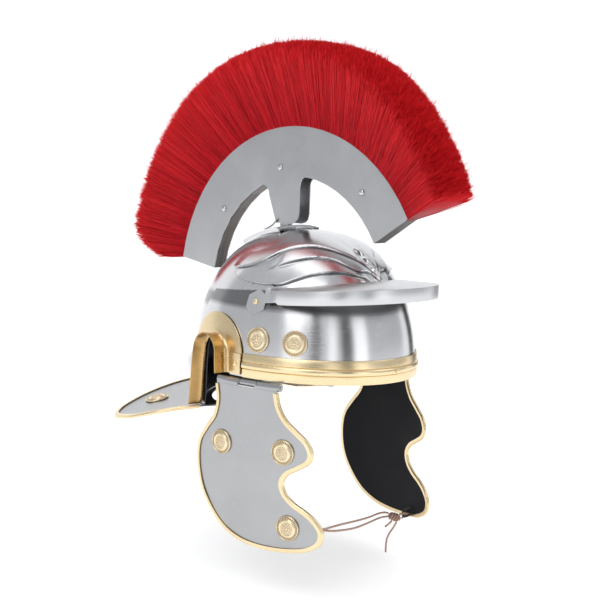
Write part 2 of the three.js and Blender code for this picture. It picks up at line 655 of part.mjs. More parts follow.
function buildBrow() {
  const stations = steps(18, -VISOR_SWEEP, VISOR_SWEEP).map(radians);
  const shelf = (y) => VISOR_SHELF_HEIGHT
    + VISOR_FRONT_RISE * ((VISOR_CENTRE_Y - y) / VISOR_HALF_LENGTH + Math.cos(radians(180 - VISOR_SWEEP)));
  const edge = (turn, offset) => at(
    (VISOR_HALF_WIDTH + offset) * Math.sin(turn), VISOR_CENTRE_Y - (VISOR_HALF_LENGTH + offset) * Math.cos(turn), 0);
  const lean = 3 * SHEET;
  const section = [
    [-lean, 0], [0, 0], [0, -VISOR_LIP], [-SHEET, -VISOR_LIP], [-SHEET, -SHEET], [-lean, -SHEET]];
  const guard = sweep(section, stations, (turn, [out, down]) => {
    const rim = edge(turn, Math.max(out, -SHEET));
    const z = shelf(rim.y) + down;
    const angle = Math.atan2(rim.x / BOWL_HALF_WIDTH, -rim.y / BOWL_HALF_LENGTH);
    const close = bowlPoint(angle, z, SEATED_GAP + BROW_RELIEF + lean + out);
    const isOutside = Math.hypot(rim.x, rim.y) > Math.hypot(close.x, close.y);
    return out > -lean && isOutside ? at(rim.x, rim.y, z) : close;
  });
  const tab = (side) => {
    const corners = steps(6, 0, 2 * Math.PI).slice(0, 6);
    const outline = corners.map((turn) => [TAB_Y + TAB_RADIUS * Math.cos(turn), TAB_Z + TAB_RADIUS * Math.sin(turn)]);
    const reach = [TAB_Y - 2 * TAB_RADIUS, TAB_Y + 2 * TAB_RADIUS];
    const grid = steps(3, ...reach).map((y) => steps(3, TAB_Z - 2 * TAB_RADIUS, TAB_Z + 2 * TAB_RADIUS).map((z) => (
      bowlPoint(bowlAngle(y, z), z, SEATED_GAP + SHEET / 2))));
    const plate = overlap(sheet(grid, SHEET), sidePrism(outline, 0, 2 * BOWL_HALF_WIDTH));
    return plate.scale(side, 1, 1);
  };
  const arm = (side) => {
    const end = edge(radians(VISOR_SWEEP), -SHEET / 2);
    const [onLip, onTab] = [SEATED_GAP + BROW_RELIEF + lean - SHEET / 2, SEATED_GAP + SHEET / 2];
    const bottom = VISOR_SHELF_HEIGHT - VISOR_LIP;
    const grid = steps(3, 0, 1).map((share) => [bottom, VISOR_SHELF_HEIGHT - SHEET].map((z) => {
      const y = mix(end.y - 4, TAB_Y - TAB_RADIUS * 0.6, share);
      return bowlPoint(bowlAngle(y, z), z, mix(onLip, onTab, THREE.MathUtils.smoothstep(share, 0.2, 0.9)));
    }));
    return sheet(grid, SHEET).scale(side, 1, 1);
  };
  add('brow_guard', join(guard, tab(1), tab(-1), arm(1), arm(-1)), 'steel');

  const angle = bowlAngle(TAB_Y, TAB_Z);
  const place = bowlPoint(angle, TAB_Z, SEATED_GAP + SHEET + GAP);
  addPair('brow_rivet', dome(SMALL_RIVET_RADIUS, place, bowlNormal(angle, TAB_Z)), 'brass');
}

// A low round rivet head on a surface.
function dome(radius, place, normal) {
  const profile = [[0, 0], [radius, 0], [radius * 0.7, radius * 0.5], [0, radius * 0.72]];
  return turned(profile, 8, place, normal);
}

// Rim band

function buildBand() {
  const middle = BAND_HEIGHT / 2;
  const crown = BAND_THICKNESS + BAND_RIDGE;
  const section = [
    [0, 0], [BAND_THICKNESS, 0], [BAND_THICKNESS, middle - BAND_RIDGE_FOOT / 2],
    [crown, middle - BAND_RIDGE_TOP / 2], [crown, middle + BAND_RIDGE_TOP / 2],
    [BAND_THICKNESS, middle + BAND_RIDGE_FOOT / 2], [BAND_THICKNESS, BAND_HEIGHT], [0, BAND_HEIGHT],
  ];
  const bandEnd = EAR_FLANGE.frontFoot[0] - SHEET;
  const end = bowlAngle(bandEnd, 0);
  const band = sweep(section, steps(24, -end, end), (angle, [out, z]) => bowlPoint(angle, z, SEATED_GAP + out));
  add('rim_band', band, 'brass');

  const front = bowlPoint(0, middle, SEATED_GAP + crown + GAP);
  add('band_rivet', dome(SMALL_RIVET_RADIUS, front, bowlNormal(0, middle)), 'brass');

  const lift = 3 * SEATED_GAP + SHEET;
  const clipFrontY = EAR_FLANGE.frontFoot[0];
  const clipRearY = EAR_FRONT_FOOT_Y - EAR_FILLET - SEATED_GAP;
  const grid = steps(3, clipFrontY, clipRearY).map((y) => (
    steps(2, EAR_FRONT_FOOT_Z, EAR_FRONT_FOOT_Z + CLIP_HEIGHT).map((z) => (
      bowlPoint(bowlAngle(y, z), z, lift + CLIP_THICKNESS / 2)))));
  const [middleY, middleZ] = [(clipFrontY + clipRearY) / 2, EAR_FRONT_FOOT_Z + CLIP_HEIGHT / 2];
  const angle = bowlAngle(middleY, middleZ);
  const rivet = dome(SMALL_RIVET_RADIUS, bowlPoint(angle, middleZ, lift + CLIP_THICKNESS / 2),
    bowlNormal(angle, middleZ));
  addPair('band_clip', join(sheet(grid, CLIP_THICKNESS), rivet), 'brass');
}

// Hinges and cheek guards, built on the left side

const hingeEnd = (y, outset) => at(bowlPoint(bowlAngle(y, 0), 0, outset).x, y, HINGE_AXIS_Z);
const HINGE_REAR = hingeEnd(HINGE_REAR_Y, HINGE_OUTSET.rear);
const HINGE_FRONT = hingeEnd(HINGE_FRONT_Y, HINGE_OUTSET.front);

function onHinge(y) {
  const share = (HINGE_REAR_Y - y) / (HINGE_REAR_Y - HINGE_FRONT_Y);
  return HINGE_REAR.clone().lerp(HINGE_FRONT, share);
}

// In the top view the cheek guard's sheet is an arc whose outer face runs off the knuckles.
const CHEEK_ARC = (() => {
  const outward = at(HINGE_REAR.y - HINGE_FRONT.y, HINGE_FRONT.x - HINGE_REAR.x, 0).normalize();
  const half = HINGE_REAR.distanceTo(HINGE_FRONT) / 2;
  const middle = HINGE_REAR.clone().lerp(HINGE_FRONT, 0.5).addScaledVector(outward, KNUCKLE_RADIUS - SHEET / 2);
  const centre = middle.addScaledVector(outward, -Math.sqrt(CHEEK_CURVE_RADIUS ** 2 - half ** 2));
  return { x: centre.x, y: centre.y };
})();

const CHEEK_REAR_Y = HINGE_REAR_Y + CHEEK_REAR_OVERHANG;
const cheekSide = ({ shareForward, shareDown }) => [
  CHEEK_REAR_Y - shareForward * CHEEK_LENGTH, CHEEK_TOP_Z - shareDown * CHEEK_HEIGHT];

// Towards its lower rear edge the sheet leans in under the jaw.
function cheekPoint(y, z, offset) {
  const radius = CHEEK_CURVE_RADIUS + offset;
  const rear = 1 - (CHEEK_REAR_Y - y) / CHEEK_LENGTH;
  const lean = CHEEK_JAW_LEAN * rear * ((CHEEK_TOP_Z - z) / CHEEK_HEIGHT);
  return at(CHEEK_ARC.x + Math.sqrt(radius ** 2 - (y - CHEEK_ARC.y) ** 2) - lean, y, z);
}

function cheekNormal(y, z) {
  const forward = cheekPoint(y - 1, z, 0).sub(cheekPoint(y + 1, z, 0));
  const up = cheekPoint(y, z + 1, 0).sub(cheekPoint(y, z - 1, 0));
  return up.cross(forward).normalize();
}

// A layer of the cheek sheet between two offsets, inside an outline and below a height.
function cheekLayer(outline, inner, outer, top) {
  const margin = 8;
  const low = CHEEK_TOP_Z - CHEEK_HEIGHT - margin;
  const face = (offset) => steps(7, CHEEK_REAR_Y + margin, CHEEK_REAR_Y - CHEEK_LENGTH - margin)
    .map((y) => [cheekPoint(y, low, offset), cheekPoint(y, top, offset)]);
  return overlap(wallBetween(face(outer), face(inner), false), sidePrism(outline, 0, 2 * BOWL_HALF_WIDTH));
}

// Smooth outline of the cheek guard in the side view, carried straight up past the hinge.
function cheekOutline() {
  const curve = new THREE.CatmullRomCurve3(
    CHEEK_OUTLINE.map((row) => at(0, ...cheekSide(row))), false, 'centripetal');
  const lobes = curve.getSpacedPoints(28).map((p) => [p.y, p.z]);
  const [rear, front] = [lobes[0][0], lobes.at(-1)[0]];
  const trimTop = CHEEK_TOP_Z - GAP;
  return [[rear, KNUCKLE_RADIUS], [rear, trimTop], ...lobes.slice(1, -1), [front, trimTop], [front, KNUCKLE_RADIUS]];
}

function knuckle(fromY, toY) {
  return rod(onHinge(fromY), onHinge(toY), KNUCKLE_RADIUS, 9);
}

function buildCheeks() {
  const outline = cheekOutline();
  const half = SHEET / 2;
  const bore = rod(onHinge(HINGE_REAR_Y + 5), onHinge(HINGE_FRONT_Y - 5), PIN_RADIUS + BORE_CLEARANCE, 8);
  const middle = [KNUCKLE_SPLITS.rear - GAP / 2, KNUCKLE_SPLITS.front + GAP / 2];
  const relief = box(
    at(0, middle[1] - GAP, CHEEK_TOP_Z - GAP), at(2 * BOWL_HALF_WIDTH, middle[0] + GAP, KNUCKLE_RADIUS));
  const sheetOutline = inset(outline, EDGING_LIP + GAP);
  const plate = cut(cheekLayer(sheetOutline, -half, half, HINGE_AXIS_Z), relief);
  const rolls = [knuckle(HINGE_REAR_Y, middle[0] + GAP), knuckle(middle[1] - GAP, HINGE_FRONT_Y)];
  addPair('cheek_guard', cut(join(plate, ...rolls), bore), 'steel');

  const stations = [...outline.keys()].slice(1, -1);
  const insets = new Map([0, EDGING_LIP, EDGING_DEPTH].map((depth) => [depth, inset(outline, depth)]));
  const edging = sweep(EDGING_SECTION, stations, (i, [depth, offset]) => cheekPoint(...insets.get(depth)[i], offset));
  addPair('cheek_edging', edging, 'brass');

  const back = -half - GAP;
  const lining = cheekLayer(inset(outline, EDGING_DEPTH + GAP), back - LINING_THICKNESS, back, CHEEK_TOP_Z - GAP);
  addPair('cheek_lining', lining, 'lining');

  const ends = [onHinge(HINGE_REAR_Y + 1), onHinge(HINGE_FRONT_Y - 1)];
  addPair('hinge_pin', rod(...ends, PIN_RADIUS, 8), 'steel');

  const leafOffset = -BOWL_WALL - SEATED_GAP - SHEET / 2;
  const leafGrid = steps(3, ...middle).map((y) => [HINGE_AXIS_Z, HINGE_LEAF_HEIGHT / 2, HINGE_LEAF_HEIGHT]
    .map((z) => bowlPoint(bowlAngle(y, z), Math.max(z, 0), leafOffset).setZ(z)));
  addPair('hinge_leaf', cut(join(knuckle(...middle), sheet(leafGrid, SHEET)), bore), 'steel');
}

// Rosettes

function rosette(place, normal) {
  const profile = [
    [0, 0], [ROSETTE_RADIUS, 0], [ROSETTE_RADIUS, ROSETTE_HEIGHT * 0.3],
    [ROSETTE_RADIUS * 0.72, ROSETTE_HEIGHT * 0.62], [ROSETTE_RADIUS * 0.4, ROSETTE_HEIGHT * 0.5],
    [0, ROSETTE_HEIGHT],
  ];
  return turned(profile, 9, place, normal);
}

function buildRosettes() {
  for (const [name, { y, z }] of Object.entries(BOWL_ROSETTES)) {
    const angle = bowlAngle(y, z);
    addPair(`bowl_rosette_${name}`, rosette(bowlPoint(angle, z, GAP), bowlNormal(angle, z)), 'bronze');
  }
  for (const [name, share] of Object.entries(CHEEK_ROSETTES)) {
    const [y, z] = cheekSide(share);
    const normal = cheekNormal(y, z);
    const place = cheekPoint(y, z, 0).addScaledVector(normal, SHEET / 2 + GAP);
    addPair(`cheek_rosette_${name}`, rosette(place, normal), 'bronze');
  }
  const { x, y } = NECK_ROSETTE;
  const surface = (px, py) => at(px, py, neckHeight(px, py));
  const along = surface(x + 1, y).sub(surface(x - 1, y));
  const back = surface(x, y + 1).sub(surface(x, y - 1));
  const normal = along.cross(back).normalize();
  addPair('neck_rosette', rosette(surface(x, y).addScaledVector(normal, SEATED_GAP), normal), 'bronze');
}

// Crest

const crestAt = (degrees, radius) => [
  CREST_CENTRE_Y + radius * Math.cos(radians(degrees)), CREST_CENTRE_Z + radius * Math.sin(radians(degrees))];
const arcPoints = (radius, spans, from, to) => steps(spans, from, to).map((degrees) => crestAt(degrees, radius));

// The lower arc is centred a little further forward, so that the band widens towards the back.
const lowerArc = (spans, from, to) => arcPoints(CREST_INNER_RADIUS, spans, from, to)
  .map(([y, z]) => [y - CREST_INNER_SHIFT, z]);
const lowerArcDegrees = (y) => THREE.MathUtils.radToDeg(
  Math.acos((y + CREST_INNER_SHIFT - CREST_CENTRE_Y) / CREST_INNER_RADIUS));

function crestPlateOutline() {
  const frontFillet = lowerArcDegrees(STEM_FRONT_Y - STEM_CORNER);
  const rearFillet = lowerArcDegrees(STEM_REAR_TOP_Y + STEM_CORNER);
  const shoulder = crestAt(90, CREST_INNER_RADIUS)[1] - STEM_CORNER;
  const quarter = (centre, radius, from, to) => steps(3, from, to).map(radians).map((turn) => [
    centre[0] + radius * Math.cos(turn), centre[1] + radius * Math.sin(turn)]);
  return [
    ...arcPoints(CREST_OUTER_RADIUS, 21, CREST_REAR_ANGLE, CREST_FRONT_ANGLE),
    ...lowerArc(8, CREST_FRONT_ANGLE, frontFillet),
    ...quarter([STEM_FRONT_Y - STEM_CORNER, shoulder], STEM_CORNER, 60, 0),
    ...quarter([STEM_FRONT_Y + STEM_CORNER, STEM_BASE_Z + STEM_CORNER], STEM_CORNER, 180, 270),
    [STEM_REAR_FOOT_Y, STEM_BASE_Z],
    [STEM_REAR_TOP_Y, shoulder - STEM_CORNER],
    ...quarter([STEM_REAR_TOP_Y + STEM_CORNER, shoulder - STEM_CORNER], STEM_CORNER, 165, 100),
    ...lowerArc(6, rearFillet, CREST_REAR_ANGLE),
  ];
}

// Longest towards the back, shorter where the brush ends over the brow.
function bristleLength(degrees) {
  const toFront = THREE.MathUtils.smoothstep(degrees, 105, CREST_FRONT_ANGLE);
  const toRear = THREE.MathUtils.smoothstep(-degrees, -75, -CREST_REAR_ANGLE);
  return BRISTLE_LENGTH * (1 - BRISTLE_SHORTENING.front * toFront - BRISTLE_SHORTENING.rear * toRear);
}

function buildCrest() {
  const outline = crestPlateOutline();
  const inner = CREST_INNER_WIDTH / 2;
  const holes = Object.values(CREST_RIVETS).map(({ degrees, radius }) => {
    const [y, z] = crestAt(degrees, radius);
    const reach = 2 * CREST_HALF_THICKNESS;
    return rod(at(-reach, y, z), at(reach, y, z), CREST_SHANK_RADIUS + GAP, 8);
  });
  addPair('crest_plate', cut(sidePrism(outline, inner, CREST_HALF_THICKNESS), ...holes), 'steel');

  const coreTop = CREST_OUTER_RADIUS - CORE_MARGIN;
  const coreOutline = [
    ...arcPoints(coreTop, 17, CREST_REAR_ANGLE, CREST_FRONT_ANGLE),
    ...lowerArc(12, CREST_FRONT_ANGLE, CREST_REAR_ANGLE),
  ];
  add('crest_core', cut(sidePrism(coreOutline, -inner + GAP, inner - GAP), ...holes), 'core');

  const base = inner - GAP;
  const section = [[-1, 0], [1, 0], [1, 0.08], [1, 1], [0, 1], [-1, 1], [-1, 0.08]];
  const stations = steps(30, CREST_REAR_ANGLE, CREST_FRONT_ANGLE).map((degrees, i) => ({ degrees, lock: i % 2 }));
  const plume = sweep(section, stations, ({ degrees, lock }, [side, reach]) => {
    const root = coreTop + GAP;
    const length = bristleLength(degrees) + (CREST_OUTER_RADIUS - root) - LOCK_DEPTH * lock;
    const splay = radians(BRISTLE_SPLAY * side);
    const out = reach < 1 ? base * side : base * side * Math.cos(splay) + length * Math.sin(splay);
    const up = reach < 1 ? reach * length : length * Math.cos(splay);
    const middle = (CREST_REAR_ANGLE + CREST_FRONT_ANGLE) / 2;
    const fan = mix(1, BRISTLE_FAN, reach);
    return at(out, ...crestAt(middle + (degrees - middle) * fan, root + up));
  });
  add('crest_plume', plume, 'bristle');

  const head = CREST_HALF_THICKNESS + GAP;
  const top = head + CREST_HEAD_HEIGHT;
  const profile = [
    [0, -top], [CREST_HEAD_RADIUS, -head], [CREST_SHANK_RADIUS, -head],
    [CREST_SHANK_RADIUS, head], [CREST_HEAD_RADIUS, head], [0, top],
  ];
  for (const [name, { degrees, radius }] of Object.entries(CREST_RIVETS)) {
    const [y, z] = crestAt(degrees, radius);
    add(`crest_rivet_${name}`, turned(profile, 8, at(0, y, z), at(1, 0, 0)), 'steel');
  }
}

// Crest seat on the crown, the foot that drops into its slot and the hooked pin that keeps it there
function buildSeat() {
  const inside = SEAT_HALF_WIDTH - SEAT_SKIRT;
  const columns = [-SEAT_HALF_WIDTH, -inside, -inside + 0.1, ...steps(3, -inside / 1.5, inside / 1.5),
    inside - 0.1, inside, SEAT_HALF_WIDTH];
  const rows = steps(4, SEAT_FRONT_Y, SEAT_REAR_Y);
  const lift = (x, isTop) => (isTop ? SEAT_RISE : Math.abs(x) < inside ? SEAT_RISE - SHEET : SEATED_GAP);
  const face = (isTop) => rows.map((y) => columns.map((x) => overBowl(x, y, lift(x, isTop))));
  const halfFoot = FOOT_WIDTH / 2;
  const slot = box(
    at(-halfFoot - GAP, FOOT_FRONT_Y - GAP, 0), at(halfFoot + GAP, FOOT_REAR_Y + GAP, 2 * CROWN_HEIGHT));
  add('crest_seat', cut(wallBetween(face(true), face(false), false), slot), 'steel');

  const neckTop = STEM_BASE_Z + SHEET;
  const sole = (y) => [y, bowlHeight(0, y) + SEATED_GAP + SHEET];
  const neck = sidePrism(
    [sole(FOOT_FRONT_Y), sole(FOOT_REAR_Y), [FOOT_REAR_Y, neckTop + 1], [FOOT_FRONT_Y, neckTop + 1]],
    -halfFoot, halfFoot);
  const blockHalf = CREST_INNER_WIDTH / 2 - GAP;
  const block = box(at(-blockHalf, FOOT_FRONT_Y, neckTop), at(blockHalf, FOOT_REAR_Y, neckTop + FOOT_TOP));
  const toe = (offset) => steps(2, FOOT_FRONT_Y, FOOT_REAR_Y).map((y) => (
    steps(4, -FOOT_WIDTH * 1.5, FOOT_WIDTH * 1.5).map((x) => overBowl(x, y, offset))));
  const toes = wallBetween(toe(SEAT_RISE - SHEET - SEATED_GAP), toe(SEATED_GAP), false);
  add('crest_foot', join(neck, block, toes), 'steel');

  const side = -CREST_HALF_THICKNESS - GAP - HOOK_WIRE / 2;
  const landing = overBowl(side - 1, STEM_REAR_FOOT_Y + 8, SEAT_RISE + GAP + HOOK_WIRE / 2);
  const hook = new THREE.CatmullRomCurve3([
    at(side, STEM_REAR_FOOT_Y - 3, STEM_BASE_Z + 4),
    at(side, STEM_REAR_FOOT_Y - 1, STEM_BASE_Z + 1.5),
    at(side - 0.5, STEM_REAR_FOOT_Y + 3, mix(STEM_BASE_Z, landing.z, 0.4)),
    landing,
    overBowl(side - 1, STEM_REAR_FOOT_Y + 11, SEAT_RISE + GAP + HOOK_WIRE / 2),
  ]);
  add('crest_hook', tube(hook, HOOK_WIRE, 6, 7), 'steel');
}

// Tie

function cord(route) {
  return new THREE.CatmullRomCurve3(route.map((point) => at(...point)), false, 'centripetal');
}

// A small loop that leaves the lining and is drawn along it, at an angle below the horizontal.
function loopOnLining({ y, z, lie, reach, lift }, side) {
  const foot = cheekPoint(y, z, -SHEET / 2 - GAP - LINING_THICKNESS);
  const inward = cheekNormal(y, z).negate();
  const level = at(0, 0, 1).cross(inward).negate();
  const along = level.clone().multiplyScalar(Math.cos(radians(lie))).add(at(0, 0, Math.sin(radians(lie))));
  const across = along.clone().cross(inward);
  const shares = [
    [-1, 0], [-1, 0.12], [-1, 0.4], [-0.9, 0.75], [-0.4, 1], [0.4, 1], [0.9, 0.75], [1, 0.4], [1, 0.12], [1, 0]];
  const route = shares.map(([aside, out]) => foot.clone()
    .addScaledVector(inward, 2 * SEATED_GAP + lift * Math.sin((out * Math.PI) / 2))
    .addScaledVector(along, reach * (1 - Math.cos((out * Math.PI) / 2)))
    .addScaledVector(across, LOOP_SPREAD * aside));
  return tube(new THREE.CatmullRomCurve3(route), LOOP_DIAMETER, 8, 9).scale(side, 1, 1);
}

function buildTie() {
  add('tie_thong', tube(cord(THONG_ROUTE), THONG_DIAMETER, 8, 46), 'thong');
  add('tie_bight', tube(cord(BIGHT_ROUTE), THONG_DIAMETER, 8, 9), 'thong');
  add('tie_end_long', tube(cord(LONG_END_ROUTE), THONG_DIAMETER, 8, 6), 'thong');
  add('tie_end_short', tube(cord(SHORT_END_ROUTE), THONG_DIAMETER, 8, 3), 'thong');
  const knot = new THREE.SphereGeometry(1, 10, 6)
    .scale(KNOT.halfLength, KNOT.halfWidth, KNOT.halfHeight)
    .rotateY(radians(KNOT.tilt))
    .rotateZ(radians(KNOT.turn))
    .translate(KNOT.x, KNOT.y, KNOT.z);
  add('tie_knot', knot, 'thong');
  add('tie_loop_left', loopOnLining(TIE_LOOPS.left, 1), 'loop');
  add('tie_loop_right', loopOnLining(TIE_LOOPS.right, -1), 'loop');
}

buildBowl();
buildBrow();
buildBand();
buildEars();
buildNeck();
buildCheeks();
buildRosettes();
buildCrest();
buildSeat();
buildTie();

const model = new THREE.Group();
model.add(helmet);

export default model;
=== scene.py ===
"""Looks of the Roman legionary helmet: polished embossed steel, brass trim, stamped rosettes, a red bristle
crest and a tan thong. Shapes are worked out in millimetres from the rim plane of the bowl and placed in the
row frame.
"""

import math

import bmesh
import bpy
import numpy as np
from mathutils import Matrix, Vector


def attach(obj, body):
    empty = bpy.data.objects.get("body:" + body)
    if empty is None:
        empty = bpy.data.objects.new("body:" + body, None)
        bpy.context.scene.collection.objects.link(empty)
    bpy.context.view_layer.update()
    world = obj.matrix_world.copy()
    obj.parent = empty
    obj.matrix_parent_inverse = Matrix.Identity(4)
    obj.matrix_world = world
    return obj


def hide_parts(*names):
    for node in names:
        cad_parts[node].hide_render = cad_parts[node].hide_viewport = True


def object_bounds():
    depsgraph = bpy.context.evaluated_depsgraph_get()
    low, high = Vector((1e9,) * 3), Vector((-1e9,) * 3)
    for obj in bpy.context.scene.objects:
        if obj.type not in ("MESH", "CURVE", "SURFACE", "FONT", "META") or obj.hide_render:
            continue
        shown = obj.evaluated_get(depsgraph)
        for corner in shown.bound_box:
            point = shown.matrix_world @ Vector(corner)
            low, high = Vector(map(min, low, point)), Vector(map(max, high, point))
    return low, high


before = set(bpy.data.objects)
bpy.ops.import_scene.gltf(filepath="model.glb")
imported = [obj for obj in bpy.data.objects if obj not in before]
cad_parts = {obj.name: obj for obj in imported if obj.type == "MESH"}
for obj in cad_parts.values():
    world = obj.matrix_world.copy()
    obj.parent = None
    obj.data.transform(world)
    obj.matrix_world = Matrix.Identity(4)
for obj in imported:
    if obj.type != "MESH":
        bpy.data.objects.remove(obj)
cad_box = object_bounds()

MM = 0.001
HEAD_SEAT_Z = 131.8

# Clearances and sheet
GAP = 0.3
SEATED_GAP = 0.5
SHEET = 1.2

# Bowl
BOWL_HALF_WIDTH = 98
BOWL_HALF_LENGTH = 118
CROWN_HEIGHT = 133
RISE_EXPONENT = 2.2
GIRTH_EXPONENT = 2.4
BOWL_WALL = 1.2
NAPE_DROP = 36
NAPE_BULGE = 9
NAPE_BULGE_CENTRE = -5
NAPE_BULGE_HALF_HEIGHT = 15
NAPE_TUCK = 10
BROW_RELIEF = 2.6
BROW_FALLOFF = 15
BROW_TAIL_DEGREES = 12
CREASE_WIDTH = 1.6
CREASE_SHADE_WIDTH = 1.1
KNOB_HALF_HEIGHT = 4
KNOB_HALF_DEGREES = 5

# Brow guard
VISOR_HALF_WIDTH = 86
VISOR_HALF_LENGTH = 84
VISOR_CENTRE_Y = -57
VISOR_SHELF_HEIGHT = 81
VISOR_FRONT_RISE = 7
VISOR_LIP = 13
VISOR_SWEEP = 108
VISOR_SHADE = 0.72
VISOR_SHADE_DEPTH = 15
TAB_RADIUS = 11.5
TAB_Y = -21
TAB_Z = 69
SMALL_RIVET_RADIUS = 2.6

# Rim band and clips
BAND_HEIGHT = 22
BAND_THICKNESS = 1.2
BAND_RIDGE = 1.5
BAND_RIDGE_FOOT = 6.2
BAND_GROOVE = 0.5
CLIP_HEIGHT = 19
CLIP_THICKNESS = 1

# Ear guard
EAR_CENTRE_Y = 20.5
EAR_RADIUS = 16.5
EAR_SPRING = 18
EAR_FRONT_FOOT_Y = 2.5
EAR_FRONT_FOOT_Z = 2
EAR_REAR_FOOT_Y = 42.5
EAR_FLANGE_CENTRE_Y = 24.5
EAR_FLANGE_RADIUS = 40
EAR_FLANGE_SPRING = 15
EAR_FLANGE_REAR_FOOT_Y = 58
EAR_FILLET = 5
EAR_LIP = 15
EAR_CLEARANCE = 2

# Neck guard
NECK_HALF_WIDTH = 141
NECK_FRONT_Y = 38
NECK_REAR_Y = 152
NECK_ARCH = 31
NECK_LEDGE = 18
EDGING_DEPTH = 4.2
EDGING_THICKNESS = 3.8
EDGING_LIP = 1.2

# Hinge and cheek guard
HINGE_REAR_Y = 11.5
HINGE_FRONT_Y = -59
HINGE_OUTSET = {"rear": 3.5, "front": 4.5}
KNUCKLE_RADIUS = 3.8
KNUCKLE_SPLITS = {"rear": -14.8, "front": -33.6}
RIM_CLEARANCE = 1.2
HINGE_LEAF_HEIGHT = 16
CHEEK_CURVE_RADIUS = 365
CHEEK_LENGTH = 145
CHEEK_HEIGHT = 149
CHEEK_REAR_OVERHANG = 26.5
CHEEK_JAW_LEAN = 6
LINING_THICKNESS = 1

# Rosettes
ROSETTE_RADIUS = 11.8
ROSETTE_HEIGHT = 3.6
TICKS = 36
TICK_SHADE = 1
HOLLOW_SHADE = 0.35
BEADS = 18
PETALS = 7

# Crest
CREST_CENTRE_Y = 13
CREST_CENTRE_Z = 65
CREST_OUTER_RADIUS = 168
CREST_REAR_ANGLE = 9.2
CREST_FRONT_ANGLE = 149
CREST_INNER_WIDTH = 13.6
CORE_MARGIN = 4
BRISTLE_LENGTH = 82
BRISTLE_SPLAY = 25
BRISTLE_FAN = 1.03
BRISTLE_SHORTENING = {"front": 0.26, "rear": 0.14}
BRUSH_END_DEGREES = 8
BRUSH_TRIM = {"rear": 0.5, "front": 0.06, "side": 0.05}
BRISTLE_DIAMETER = 0.55
BRISTLES_PER_SECTION = 22000
FRINGE = 2.8
LOCK_REACH = 0.8
SIDE_TRIM = 12
BRISTLE_LEAN = 0.5
STRAY_SHARE = 0.05
STRAY_REACH = 6
END_SCATTER = 1.1
CREST_HEAD_RADIUS = 3.2
CREST_HEAD_HEIGHT = 1.6

# Crest seat
SEAT_HALF_WIDTH = 28
SEAT_FRONT_Y = 12
SEAT_REAR_Y = 60
SEAT_RISE = 4.2
SEAT_SKIRT = 1.3

# Tie
THONG_DIAMETER = 2
LOOP_DIAMETER = 2.4
LOOP_SPREAD = 3.5

HINGE_AXIS_Z = -KNUCKLE_RADIUS - RIM_CLEARANCE
CHEEK_TOP_Z = HINGE_AXIS_Z - KNUCKLE_RADIUS - GAP
CREST_HALF_THICKNESS = CREST_INNER_WIDTH / 2 + SHEET

# Upper, middle and lower crease of the embossed brow: degrees from the front, share of the crown height
BROW_CREASES = [
    [(4, 0.76), (12, 0.83), (23, 0.87), (34, 0.895), (46, 0.905), (62, 0.89), (73, 0.855), (84, 0.795),
     (95, 0.745), (104, 0.73), (112, 0.74)],
    [(0, 0.68), (5, 0.735), (17, 0.76), (30, 0.82), (44, 0.833), (55, 0.82), (65, 0.795), (74, 0.76),
     (80, 0.732)],
    [(0, 0.61), (7, 0.66), (11, 0.70), (19, 0.727), (29, 0.745), (40, 0.736), (50, 0.718), (58, 0.686),
     (66, 0.651), (75, 0.643), (85, 0.646), (97, 0.67), (108, 0.706)],
]

# Heights of the knobs down the middle of the brow, as shares of the crown height
BROW_KNOBS = [0.7, 0.76, 0.82, 0.875]

# Half outline of the neck guard: share out, share back
NECK_OUTLINE = [
    (0.72, 0), (0.83, 0.09), (0.94, 0.23), (1, 0.42), (0.985, 0.62), (0.93, 0.83), (0.83, 0.935),
    (0.68, 0.975), (0.36, 0.995), (0, 1),
]

# Cheek guard outline: share forward, share down
CHEEK_OUTLINE = [
    (0.18, 0.01), (0.19, 0.10), (0.163, 0.20), (0.094, 0.285), (0.02, 0.39), (0, 0.52), (0.035, 0.69),
    (0.125, 0.825), (0.25, 0.93), (0.40, 0.985), (0.57, 1), (0.75, 0.988), (0.9, 0.955), (0.982, 0.895),
    (0.995, 0.82), (0.945, 0.748), (0.875, 0.7), (0.797, 0.66), (0.74, 0.607), (0.724, 0.553), (0.752, 0.503),
    (0.83, 0.455), (0.893, 0.41), (0.915, 0.355), (0.885, 0.28), (0.812, 0.218), (0.74, 0.16), (0.69, 0.085),
    (0.671, 0.01),
]

CHEEK_ROSETTES = {"rear": (0.2375, 0.37), "front": (0.7125, 0.361), "lower": (0.76, 0.828)}
BOWL_ROSETTES = {"rear": (-30.5, 35.7), "front": (-65, 35.7)}
NECK_ROSETTE = (88, 119)
CREST_RIVETS = {"rear": (39, 130.5), "middle": (81, 129), "front": (129.3, 139)}

# Routes of the tie, in metres from the rim plane
THONG_ROUTE = [
    (0.0722, -0.0574, -0.1534), (0.064, -0.06, -0.1506), (0.048, -0.0651, -0.1474), (0.03, -0.0709, -0.1454),
    (0.01, -0.0772, -0.1426), (-0.015, -0.0852, -0.1383), (-0.04, -0.0933, -0.1338),
    (-0.058, -0.0976, -0.1316), (-0.067, -0.0994, -0.1307), (-0.0716, -0.0986, -0.1306),
    (-0.0736, -0.095, -0.1308), (-0.0745, -0.0922, -0.131), (-0.0753, -0.0886, -0.1312),
    (-0.0736, -0.0856, -0.1316), (-0.0702, -0.086, -0.132), (-0.0682, -0.0893, -0.1323),
    (-0.0672, -0.0928, -0.1327), (-0.063, -0.0962, -0.1338), (-0.054, -0.0966, -0.136),
    (-0.04, -0.0936, -0.1392), (-0.022, -0.0882, -0.1432), (-0.005, -0.0826, -0.1465),
    (0.014, -0.0766, -0.1488), (0.032, -0.0708, -0.1506), (0.052, -0.0644, -0.1526),
    (0.071, -0.0589, -0.1563),
]
